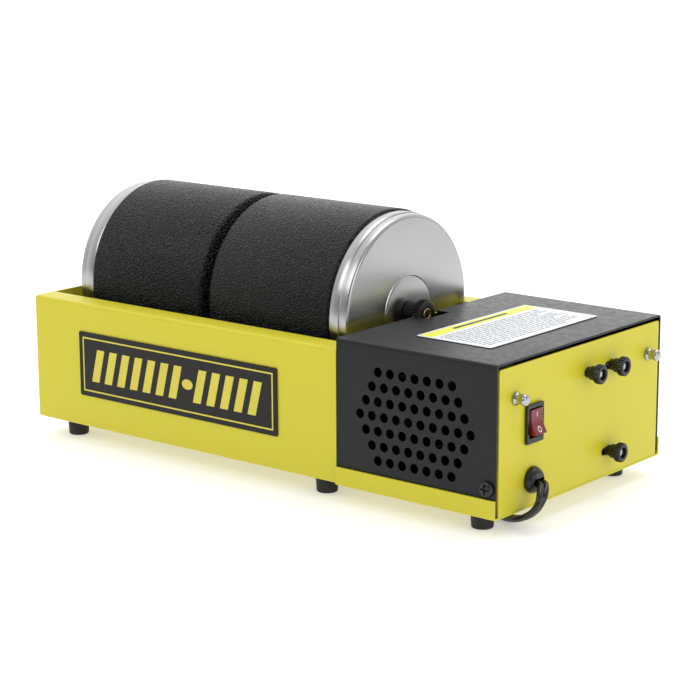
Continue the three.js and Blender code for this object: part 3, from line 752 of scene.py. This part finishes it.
# ---- chassis ----
NOTCH = 10.5  # half the width of the notch that a knob sits in
BEARING_HOLE = 6.6


def stepped_wall(edge, low, shoulder, inset, top):
    """The outline of a wall that is narrower above its shoulders, between the tray's flanges."""
    left = [(inset, top), (inset, shoulder), (edge, shoulder)]
    right = [(WIDTH - y, z) for y, z in reversed(left)]
    return [(edge, low), (WIDTH - edge, low), *right, *left]


def wall_cutters(x):
    """What is cut from a wall at x: the knob's notch and the holes of the two bearings."""
    low, high = x - 3, x + 3
    return [
        cylinder("x", MID_Y, AXIS_Z, NOTCH, low, high, 40),
        block((low, MID_Y - NOTCH, AXIS_Z), (high, MID_Y + NOTCH, 90)),
        *[cylinder("x", y, ROLLER_Z, BEARING_HOLE, low, high, 32) for y in (DRIVE_Y, IDLER_Y)],
    ]


def make_tray():
    flange = 15
    half_fold = [(flange, TRAY_TOP - HALF), (HALF, TRAY_TOP - HALF), (HALF, 0.5 + HALF)]
    outline = folded([*half_fold, *[(WIDTH - y, z) for y, z in reversed(half_fold)]], SHEET, 0.7)
    right_end = -MOTOR_LENGTH - 0.15
    shell = extruded("shell", outline, -LENGTH, right_end, "x", "chassis", YELLOW)
    wall = stepped_wall(1.4, 1.8, TRAY_TOP - 1.3, flange + 0.4, TRAY_TOP)
    end = extruded("end", wall, -LENGTH, -LENGTH + SHEET, "x", "chassis", YELLOW)
    return joined("tray_shell", [shell, drilled(end, wall_cutters(-LENGTH))], "chassis")


stands_for(make_tray(), "yellow_paint", "tray")


def paint_shade_inside(obj, faces):
    """Painted shade: a near-black material on the faces that look into the motor room."""
    obj.data.materials.append(MOTOR_ROOM_SHADE)
    for face in obj.data.polygons:
        if faces(face):
            face.material_index = len(obj.data.materials) - 1
    return obj


def make_divider():
    x = -MOTOR_LENGTH - SHEET - 0.6
    wall = stepped_wall(1.5, 2, 74, 15.3, 80.1)
    sheet = extruded("sheet", wall, x, x + SHEET, "x", "chassis", YELLOW)
    divider = joined("divider_sheet", [drilled(sheet, wall_cutters(x))], "chassis")
    return paint_shade_inside(divider, lambda face: face.normal.x > 0.9)


stands_for(make_divider(), "yellow_paint", "divider_wall")

STUDS = [(84, 62.5), (107.3, 62.5), (106.3, 14.5)]
SLOT_STARTS = (1.3, 4.4, 4.9)  # how much further each stud's slot reaches to the front
SWITCH_Y, SWITCH_Z = 32.5, 45.5
POSTS, POST_Z = (16.4, 144.6), 61.5
SCREW = (-5.5, 16.2)
BUSH = (32, 15)
THROUGH = (-4, 3)  # a cutter's ends, either side of the end panel


def slot_outline(y0, y1, z, r):
    right_end = arc(y1 - r, z, r, r, -math.pi / 2, math.pi, 12)
    return right_end + arc(y0 + r, z, r, r, math.pi / 2, math.pi, 12)


def panel_corner(y, side):
    """The cutter that rounds the panel's top corner at y, where side points inwards."""
    radius = 1.5
    quarter = arc(0, 0, radius, radius, math.pi / 2, math.pi / 2, 8)
    curve = [(y + side * (radius + a), PANEL_TOP - radius + b) for a, b in reversed(quarter)]
    inner, outer = y + side * radius, y - side * 3
    top = PANEL_TOP + 3
    return cutter([*curve, (inner, top), (outer, top), (outer, PANEL_TOP - radius)], *THROUGH)


def make_base():
    left = -MOTOR_LENGTH + 0.15
    low, high = HALF - 1.4, WIDTH + 1.4 - HALF
    fold = folded([(low, LIP_TOP), (low, HALF), (high, HALF), (high, LIP_TOP)], SHEET, 0.5)
    pan = extruded("pan", fold, left, 0, "x", "chassis", YELLOW)
    y0, y1 = 2.4, WIDTH - 2.4
    bend = [(-9, HALF + 0.04), (-HALF, HALF + 0.04), (-HALF, PANEL_TOP)]
    sheet = folded(bend, SHEET - 0.02, 0.5)
    panel = extruded("panel", sheet, y0, y1, "y", "chassis", YELLOW)
    cutters = [panel_corner(y0, 1), panel_corner(y1, -1)]
    for (y, z), start in zip(STUDS, SLOT_STARTS):
        cutters.append(cutter(slot_outline(y - 2 - start, y + 6.3, z, 2.3), *THROUGH))
    y, z = SWITCH_Y, SWITCH_Z
    cutters.append(cutter(corners(y - 6.6, z - 9.6, y + 6.6, z + 9.6), *THROUGH))
    cutters.append(cylinder("x", *BUSH, 6, *THROUGH, 32))
    cutters += [cylinder("x", y, POST_Z, 1.8, *THROUGH, 20) for y in POSTS]
    panel = drilled(panel, cutters)
    tabs = []
    for y in (1.8, WIDTH - 3):
        outline = corners(y, 6, y + SHEET, 26)
        tabs.append(extruded("tab", outline, -15, -0.9, "x", "chassis", YELLOW))
    base = joined("base_pan", [pan, panel, *tabs], "chassis")
    pan_top = at(0, 0, 2).z
    return paint_shade_inside(
        base,
        lambda face: (face.normal.z > 0.9 and face.center.z < pan_top)
        or (face.normal.x < -0.9 and face.center.z > pan_top),
    )


stands_for(make_base(), "yellow_paint", "motor_base")


def make_cover():
    left, right_end = -MOTOR_LENGTH + 0.1, -0.2
    y0, y1 = 0.1 + HALF, WIDTH - 0.1 - HALF
    fold = [(y0, 3), (y0, COVER_TOP - HALF), (y1, COVER_TOP - HALF), (y1, 3)]
    outline = folded(fold, SHEET, 0.7)
    shell = extruded("cover_shell", outline, left, right_end, "x", "chassis", DARK)
    vent_x, vent_z, pitch, radius = -52.4, 42.6, 8.06, 2.7
    cutters = []
    for row, count in enumerate([7, 8, 9, 10, 9, 8, 7]):
        for i in range(count):
            x = vent_x + (i - (count - 1) / 2) * pitch
            cutters.append(cylinder("y", x, vent_z + (3 - row) * pitch, radius, -2, 4))
    notch_low = (left - 3, MID_Y - NOTCH, COVER_TOP - 4)
    cutters.append(block(notch_low, (left + 8.8, MID_Y + NOTCH, COVER_TOP + 3)))
    for low, high in ((-2, 4), (WIDTH - 4, WIDTH + 2)):
        cutters.append(cylinder("y", *SCREW, 1.9, low, high, 20))
    return drilled(shell, cutters)


stands_for(make_cover(), "dark_paint", "motor_cover")


# ---- nameplate and label ----
def make_nameplate():
    """A plate with a border line and plain slanted bars on both sides of an oval."""
    x0, x1, z0, z1 = -301.5, -146.4, 20.0, 58.7
    y = -0.8
    outline = rounded(corners(x0, z0, x1, z1), 1.2)
    plate = extruded("plate", outline, y, -0.3, "y", "chassis", PLATE)
    ink = []

    def flat(outline):
        ink.append(extruded("ink", outline, y - 0.04, y + 0.2, "y", "chassis", INK))

    margin, stroke = 3.0, 0.9
    left, right_end, low, high = x0 + margin, x1 - margin, z0 + margin, z1 - margin
    flat(corners(left, low, right_end, low + stroke))
    flat(corners(left, high - stroke, right_end, high))
    for a in (left, right_end - stroke):
        flat(corners(a, low + stroke, a + stroke, high - stroke))
    low, high = z0 + 9.5, z1 - 9.5
    bar, lean, pitch = 6, 5.0, 10.4
    for first, count in ((x0 + 10, 7), (x1 - 63.5, 5)):
        for i in range(count):
            a = first + i * pitch
            flat([(a, low), (a + bar, low), (a + bar + lean, high), (a + lean, high)])
    flat(arc(x0 + 87.5, (z0 + z1) / 2, 4.2, 3.0, 0, 2 * math.pi, 24)[:-1])
    return joined("front_plate", [plate, *ink], "chassis")


stands_for(make_nameplate(), "nameplate", "front_nameplate")


def make_label():
    """A white film with a coloured band and rows of short grey dashes."""
    x0, x1, y0, y1 = -73.5, -24.5, 29, 131.5
    z = COVER_TOP + 0.3
    outline = rounded(corners(x0, y0, x1, y1), 1.5)
    parts = [extruded("film", outline, z, z + 0.2, "z", "chassis", LABEL)]

    def flat(a, b, c, d, material, lift=0.24):
        outline = corners(a, c, b, d)
        parts.append(extruded("ink", outline, z + 0.1, z + lift, "z", "chassis", material))

    flat(x0 + 1.5, x0 + 9.5, y0 + 2, y1 - 2, LABEL_BAND)
    flat(x0 + 4.2, x0 + 6.8, y0 + 26, y1 - 26, PLATE, 0.27)
    draw = random.Random(7)
    rows, pitch, margin, gap = 12, 2.75, 4, 1.1
    for row in range(rows):
        x = x0 + 13 + row * pitch
        y = y0 + margin
        short = 18 if row % 4 == 3 else 4
        stop = y1 - margin - draw.random() * short
        while y < stop - 3:
            step = min(2.5 + draw.random() * 7, stop - y)
            flat(x, x + 1.0, y, y + step - gap, LABEL_INK)
            y += step
    return joined("cover_label", parts, "chassis")


stands_for(make_label(), "label", "top_label")

# ---- fittings ----
FOOT_ROWS = {"front": 14.2, "back": 140}
FOOT_ENDS = {"left": -320, "middle": -123.4, "right": -18.2}
for row, y in FOOT_ROWS.items():
    for end, x in FOOT_ENDS.items():
        profile = [(0, -0.3), (6.5, -0.3), (5.9, -10), (2.2, -10), (2.0, -7), (0, -7)]
        name = f"foot_{row}_{end}"
        place = (x, y, 0)
        foot = lathe(f"{name}_rubber", rounded(profile, 0.8), place, "chassis", RUBBER, sides=40, axis="z")
        stands_for(foot, "black_rubber", name)

for name, y in zip(("front", "back"), POSTS):
    profile = [
        (0, -5), (1.5, -5), (1.5, 0.3), (3.2, 0.3), (3.6, 0.6), (3.6, 1.2), (3.3, 1.6),
        (3.0, 2.0), (2.8, 2.5), (2.8, 4.3), (2.9, 4.9), (3.1, 5.4), (3.25, 6.1), (3.1, 6.8),
        (2.6, 7.4), (1.7, 7.8), (0, 7.9),
    ]
    post = lathe(f"post_{name}", profile, (0, y, POST_Z), "chassis", CHROME, sides=48)
    stands_for(post, "chrome", f"cord_post_{name}")


def make_screw(name, sign, face):
    """A pan-head screw with a cross recess; sign points out of the cover's face."""
    profile = [
        (0, -4.8), (1.5, -4.8), (1.5, 0.3), (4.2, 0.3), (4.25, 0.9), (3.9, 1.7), (3.1, 2.3),
        (1.8, 2.6), (0, 2.7),
    ]
    x, z = SCREW
    screw = lathe(name, profile, (x, face, z), "chassis", PLASTIC, sign, 40, "y")
    low, high = sorted((face + sign * 1.3, face + sign * 4))
    for long, tall in ((2.9, 0.55), (0.55, 2.9)):
        screw = drilled(screw, [block((x - long, low, z - tall), (x + long, high, z + tall))])
    return screw


stands_for(make_screw("screw_front", -1, 0.1), "black_plastic", "cover_screw_front")
stands_for(make_screw("screw_back", 1, WIDTH - 0.1), "black_plastic", "cover_screw_back")


def knurled(count, depth, limit):
    """A ripple for lathe: fine ridges where the profile is no narrower than limit."""

    def radius(r, angle):
        if r < limit:
            return r
        return r - depth * (0.5 + 0.5 * math.cos(count * angle)) ** 0.7

    return radius


for i, (y, z) in enumerate(STUDS):
    number = i + 1
    profile = [
        (2.3, 0.3), (3, 0.3), (3, 2.6), (3.7, 2.6), (3.9, 2.8), (3.9, 5.3), (4.2, 5.7),
        (5.0, 6.0), (5.4, 6.5), (5.4, 9.0), (5.0, 9.6), (4.4, 9.8), (3.3, 9.8), (3.0, 9.5),
        (3.0, 8.2), (2.3, 8.2),
    ]
    ridges = knurled(24, 0.45, 4.9)
    name, body = f"nut_{number}_knurled", f"nut_{number}"
    nut = lathe(name, profile, (0, y, z), body, PLASTIC, sides=144, ripple=ridges)
    stands_for(nut, "black_plastic", f"thumb_nut_{number}")
    profile = rounded([(0, -78), (2, -78), (2, 8.5), (0, 8.5)], 0.9)
    stud = lathe(f"stud_{number}", profile, (0, y, z), "motor", STEEL, sides=28)
    stands_for(stud, "steel", f"motor_stud_{number}")


# ---- switch ----
PIN_X, PIN_Z = 0.6, SWITCH_Z + 0.4  # the rocker turns about this


def rectangle(z, half_y, half_z, radius):
    """An outline with rounded corners, centred across the switch."""
    low, high = (SWITCH_Y - half_y, z - half_z), (SWITCH_Y + half_y, z + half_z)
    return rounded(corners(*low, *high), radius, 5)


def make_switch_case():
    well = rectangle(PIN_Z, 5.5, 7.8, 0.5)
    rim = rectangle(SWITCH_Z, 7.6, 10.5, 1.0)
    bezel = frame_loop("bezel", rim, well, 0.3, 2.0, "x", "chassis", PLASTIC)
    applied(softened(bezel, 0.35))
    wall = rectangle(SWITCH_Z, 6.3, 9.3, 0.6)
    can = frame_loop("can", wall, well, -13, 0.3, "x", "chassis", PLASTIC)
    low, high = (-13, SWITCH_Y - 5.6, SWITCH_Z - 9), (-7, SWITCH_Y + 5.6, SWITCH_Z + 9)
    parts = [bezel, can, block(low, high, PLASTIC, "can_floor", "chassis")]
    for z in (SWITCH_Z - 5, SWITCH_Z, SWITCH_Z + 5):
        low, high = (-20, SWITCH_Y - 2.4, z - 0.4), (-12.9, SWITCH_Y + 2.4, z + 0.4)
        parts.append(block(low, high, STEEL, "blade", "chassis"))
    return joined("switch_case", parts, "chassis")


stands_for(make_switch_case(), "black_plastic", "switch_body")

TILT = math.radians(-13)
ROCKER_HALF = 6.8


def leaned(x, z):
    """A point of the rocker's profile, leaned about its pin."""
    cos, sin = math.cos(TILT), math.sin(TILT)
    return (PIN_X + x * cos + z * sin, PIN_Z - x * sin + z * cos)


def face_x(z):
    """The rocker's dished front."""
    return 2.4 + 1.4 * (abs(z) / ROCKER_HALF) ** 1.6


heights = [-ROCKER_HALF + 2 * ROCKER_HALF * k / 24 for k in range(25)]
profile = [(face_x(z), z) for z in heights]
profile += [(1, ROCKER_HALF), (-2.6, 3.2), (-2.6, -3.2), (1, -ROCKER_HALF)]
outline = [leaned(x, z) for x, z in profile]
low, high = SWITCH_Y - 5.2, SWITCH_Y + 5.2
rocker = extruded("rocker_red", outline, low, high, "y", "rocker", RED, 25)
stands_for(softened(rocker, 0.4, 3, 50), "red_rocker", "switch_rocker")


def mark(name, outline):
    """A thin white mark on the rocker's front: outline is across and up."""
    points = []
    for lift in (-0.15, 0.05):
        for a, b in outline:
            x, z = leaned(face_x(b) + lift, b)
            points.append((x, SWITCH_Y + a, z))
    return piece(name, points, prism_faces(len(outline)), "rocker", WHITE)


mark("mark_on", corners(-0.22, 2.7, 0.22, 5.1))
inner = arc(0, -4.0, 1.0, 1.2, math.pi / 2, -2 * math.pi, 24)
outer = arc(0, -4.0, 1.5, 1.7, math.pi / 2, -2 * math.pi, 24)
ring = [mark("mark", [inner[k], outer[k], outer[k + 1], inner[k + 1]]) for k in range(24)]
joined("mark_off", ring, "rocker")

# ---- cord bush ----
def make_bush():
    """A round snap-in bush, filled above and below the flat cord."""
    profile = [
        (4.4, -8), (5.2, -8), (5.7, -6), (5.7, 0.3), (6.9, 0.3), (7.15, 0.6), (7.15, 1.6),
        (6.8, 2.6), (6.2, 3.6), (5.5, 4.5), (4.9, 5.0), (4.4, 5.1),
    ]
    parts = [lathe("bush", profile, (0, *BUSH), "chassis", PLASTIC, sides=64)]
    y = BUSH[0]
    for side, tall in ((-1, 1.6), (1, 3.2)):
        z = BUSH[1] - 0.8 + side * 2.15
        right_half = [(y + 4.2, z), (y + 3.9, z + side), (y + 2.8, z + side * tall)]
        outline = [*right_half, *[(2 * y - a, b) for a, b in reversed(right_half)]]
        parts.append(extruded("jaw", outline, -7.5, 5.1, "x", "chassis", PLASTIC))
    return joined("cord_gland", parts, "chassis")


stands_for(make_bush(), "black_plastic", "cord_bush")

# ---- barrels ----
# Distances along a barrel's axis, from the middle between the two barrels.
LID_FACE, KNOB_FACE, MOUTH = 104.05, 117.45, 97
BARREL_MID = (-221.25, MID_Y, AXIS_Z)


def make_drum(name, side):
    r = BARREL_RADIUS
    profile = [
        (0, 1), (50.4, 1), (51.0, 1.3), (51.2, 3.0), (r - 1.6, 3.35), (r - 0.6, 3.8), (r, 4.9),
        (r, 90.6), (r - 0.9, 91.6), (54, 91.65), (54, MOUTH), (49.5, MOUTH), (49.5, 7), (0, 7),
    ]
    return lathe(f"{name}_drum", profile, BARREL_MID, name, GRAINED, side, 160)


def make_liner(name, side):
    """The inner lid, with its threaded stud."""
    stud, stud_end = 2.5, KNOB_FACE - 5.6
    profile = [
        (0, MOUTH - 5), (45, MOUTH - 5), (49, MOUTH - 1), (49, MOUTH + 0.3),
        (53.2, MOUTH + 0.3), (53.2, MOUTH + 1.5), (stud, MOUTH + 1.5), (stud, stud_end),
        (0, stud_end),
    ]
    return lathe(f"{name}_liner", profile, BARREL_MID, name, STEEL, side)


def make_cap(name, side):
    """The outer lid: a flanged rim, and a raised disc round the knob."""
    disc, face = 20.0, LID_FACE
    profile = [
        (3, face - 1), (53.0, face - 1), (54.0, face - 2), (54.9, 91.95), (55.9, 91.95),
        (56.0, 92.2), (56.0, 98.0), (55.8, 98.4), (55.2, 98.7), (55.15, 99.3),
        (55.15, 102.2), (54.95, 103.0), (54.4, 103.6), (53.6, 103.95), (52.8, face),
        (disc + 1.7, face), (disc + 1.2, face + 0.35), (disc + 0.7, face + 0.35),
        (disc + 0.4, face + 0.1), (disc - 0.1, face + 0.65), (disc - 0.7, face + 0.8),
        (3, face + 0.8),
    ]
    return lathe(f"{name}_cap", profile, BARREL_MID, name, LID_METAL, side, 192)


def make_grip(name, number, side):
    """The knob: a plain stem and a knurled head."""
    stem, head = LID_FACE + 1.1, KNOB_FACE
    profile = [
        (2.8, stem), (6.3, stem), (6.6, stem + 0.3), (6.6, head - 6.6), (6.2, head - 6.2),
        (5.6, head - 5.9), (5.8, head - 5.5), (7.6, head - 5.2), (8, head - 4.7),
        (8, head - 0.8), (7.5, head - 0.2), (6.9, head), (4.0, head), (3.7, head - 0.3),
        (3.7, head - 5), (2.8, head - 5),
    ]
    body, ridges = f"lid_knob_{number}", knurled(32, 0.55, 7.3)
    return lathe(f"{name}_grip", profile, BARREL_MID, body, PLASTIC, side, 192, ripple=ridges)


def make_insert(name, number, side):
    head = KNOB_FACE
    profile = [
        (2.2, head - 4.6), (3.4, head - 4.6), (3.4, head), (3.1, head + 0.2),
        (2.5, head + 0.2), (2.2, head - 0.1),
    ]
    return lathe(f"{name}_bushing", profile, BARREL_MID, f"lid_knob_{number}", BRASS, side, 48)


for number, side in ((1, 1), (2, -1)):
    name = f"barrel_{number}"
    stands_for(make_drum(name, side), "grained_rubber", f"{name}_body")
    stands_for(make_liner(name, side), "steel", f"{name}_inner_lid")
    stands_for(make_cap(name, side), "aluminium", f"{name}_outer_lid")
    stands_for(make_grip(name, number, side), "black_plastic", f"{name}_knob")
    stands_for(make_insert(name, number, side), "brass", f"{name}_knob_insert")

# ---- rollers ----
SLEEVES = ((-213, -134), (-308.5, -229.5))
BEARINGS = (("left", -LENGTH, -1), ("right", -MOTOR_LENGTH - 0.6, 1))
SHAFT_RADIUS, BORE = 4, 4.3


def make_roller(name, y, end):
    body, start = f"{name}_roller", -LENGTH - 0.6
    place = (0, y, ROLLER_Z)
    profile = rounded([(0, start), (SHAFT_RADIUS, start), (SHAFT_RADIUS, end), (0, end)], 0.6)
    rod = lathe(f"{name}_rod", profile, place, body, STEEL, sides=48)
    stands_for(rod, "steel", f"{name}_shaft")
    for i, (x0, x1) in enumerate(SLEEVES):
        profile = rounded([(BORE, x0), (ROLLER_RADIUS, x0), (ROLLER_RADIUS, x1), (BORE, x1)], 0.7)
        tyre = lathe(f"{name}_tyre_{i + 1}", profile, place, body, RUBBER, sides=64)
        stands_for(tyre, "black_rubber", f"{body}_sleeve_{i + 1}")
    for side, x, sign in BEARINGS:
        profile = [(BORE, -5.5), (6.3, -5.5), (6.3, 0.3), (9, 0.3), (9, 1.6), (BORE, 1.6)]
        place = (x, y, ROLLER_Z)
        bearing = f"{name}_bushing_{side}"
        made = lathe(bearing, rounded(profile, 0.4), place, "chassis", NYLON, sign, 48)
        stands_for(made, "nylon", f"{name}_bearing_{side}")


make_roller("drive", DRIVE_Y, -88.5)
make_roller("idler", IDLER_Y, -101)

# ---- motor and belt drive ----
MOTOR_Y, MOTOR_Z, BELT_X = 95.6, 40, -94
WHEEL_PITCH, SMALL_PITCH, BELT_RADIUS = 24, 5.76, 1.95


def pulley(name, pitch, bore, y, z, body, material):
    """A pulley with a groove for the round belt."""
    rim, root = pitch + 1.6, pitch - 2.3
    half = [(bore, -4), (rim, -4), (rim, -2.4), (root, -1.6)]
    profile = rounded([*half, *[(r, -x) for r, x in reversed(half)]], 0.3, 2)
    return lathe(name, profile, (BELT_X, y, z), body, material, sides=80)


wheel = pulley("pulley_wheel", WHEEL_PITCH, BORE, DRIVE_Y, ROLLER_Z, "drive_roller", PLASTIC)
stands_for(wheel, "black_plastic", "drive_pulley")
small = pulley("pulley_small", SMALL_PITCH, 3.3, MOTOR_Y, MOTOR_Z, "rotor", CAST)
stands_for(small, "aluminium", "motor_pulley")


def straight(start, end, steps=24):
    """The points between two points, without them."""
    return [tuple(a + (b - a) * k / steps for a, b in zip(start, end)) for k in range(1, steps)]


def make_belt():
    """A round belt round the two pulleys."""
    dy, dz = MOTOR_Y - DRIVE_Y, MOTOR_Z - ROLLER_Z
    along = math.atan2(dz, dy)
    lean = math.acos((WHEEL_PITCH - SMALL_PITCH) / math.hypot(dy, dz))
    far_side = 2 * math.pi - 2 * lean
    big = arc(DRIVE_Y, ROLLER_Z, WHEEL_PITCH, WHEEL_PITCH, along + lean, far_side, 48)
    little = arc(MOTOR_Y, MOTOR_Z, SMALL_PITCH, SMALL_PITCH, along - lean, 2 * lean, 16)
    loop = big + straight(big[-1], little[0]) + little + straight(little[-1], big[0])
    count, sides = len(loop), 12
    points = []
    for i, (y, z) in enumerate(loop):
        tangent = (Vector(loop[(i + 1) % count]) - Vector(loop[i - 1])).normalized()
        for k in range(sides):
            angle = 2 * math.pi * k / sides
            out, over = BELT_RADIUS * math.cos(angle), BELT_RADIUS * math.sin(angle)
            points.append((BELT_X + over, y + tangent.y * out, z - tangent.x * out))
    belt = piece("round_belt", points, tube_faces(count, sides, True), None, RUBBER)
    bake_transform(belt)
    return belt


stands_for(make_belt(), "black_rubber", "drive_belt")

motor_axis = (0, MOTOR_Y, MOTOR_Z)
stack = rounded([(0, -61), (15.6, -61), (15.6, -38), (0, -38)], 0.3)
shaft = rounded([(0, -100), (3, -100), (3, -20), (0, -20)], 0.4)
core = lathe("stack", stack, motor_axis, "rotor", LAMINATED, sides=64)
axle = lathe("axle", shaft, motor_axis, "rotor", STEEL, sides=40)
stands_for(joined("rotor_and_shaft", [core, axle], "rotor"), "steel", "motor_rotor")


def dressed(node, material, width=0.3):
    """A CAD node that keeps its shape, with softened edges and a finished material."""
    obj = NODES[node]
    obj.data.materials.clear()
    obj.data.materials.append(material)
    softened(obj, width, 2, 40)


dressed("stator_core", LAMINATED)
dressed("stator_coil", COPPER, 1.5)
dressed("motor_bracket_inner", CAST)
dressed("motor_bracket_outer", CAST)
dressed("cooling_fan", FAN, 0.2)

# ---- studio ----
bpy.ops.mesh.primitive_plane_add(size=12, location=(0, 0, -0.0002))
floor = bpy.context.active_object
floor.name = "floor"
paper = Shader("floor_paper", (226, 226, 226), 0.9)
paper.surface.inputs["Emission Color"].default_value = (1, 1, 1, 1)
paper.surface.inputs["Emission Strength"].default_value = 0.4
paper.bump(paper.noise(200, 2), 0.00001)
floor.data.materials.append(paper.material)


def softbox(name, location, target, width, height, power):
    light = bpy.data.lights.new(name, "AREA")
    light.shape = "RECTANGLE"
    light.size, light.size_y, light.energy = width, height, power
    obj = bpy.data.objects.new(name, light)
    obj.location = location
    aim = Vector(target) - Vector(location)
    obj.rotation_euler = aim.to_track_quat("-Z", "Y").to_euler()
    bpy.context.scene.collection.objects.link(obj)


centre = Vector((0, 0, 0.07))
softbox("key", (-0.35, -1.5, 1.35), centre, 1.4, 1.0, 9)
softbox("side", (1.7, -0.35, 0.75), centre, 1.0, 1.0, 6.5)
softbox("top", (-0.1, 0.5, 1.9), centre, 1.6, 1.2, 14)

# A white room behind the tumbler, and a dim one on the camera's side.
world = bpy.data.worlds.new("studio")
world.use_nodes = True
tree = world.node_tree
view = tree.nodes.new("ShaderNodeTexCoord")
dot = tree.nodes.new("ShaderNodeVectorMath")
dot.operation = "DOT_PRODUCT"
dot.inputs[1].default_value = (-math.sin(AZIMUTH), math.cos(AZIMUTH), 0.35)
shade = tree.nodes.new("ShaderNodeMapRange")
for key, number in zip(("From Min", "From Max", "To Min", "To Max"), (-0.5, 1.05, 0.28, 1.5)):
    shade.inputs[key].default_value = number
tree.links.new(view.outputs["Generated"], dot.inputs[0])
tree.links.new(dot.outputs["Value"], shade.inputs["Value"])
tree.links.new(shade.outputs["Result"], tree.nodes["Background"].inputs["Strength"])
tree.nodes["Background"].inputs["Color"].default_value = (1, 1, 1, 1)
bpy.context.scene.world = world
bpy.context.scene.view_settings.view_transform = "Standard"
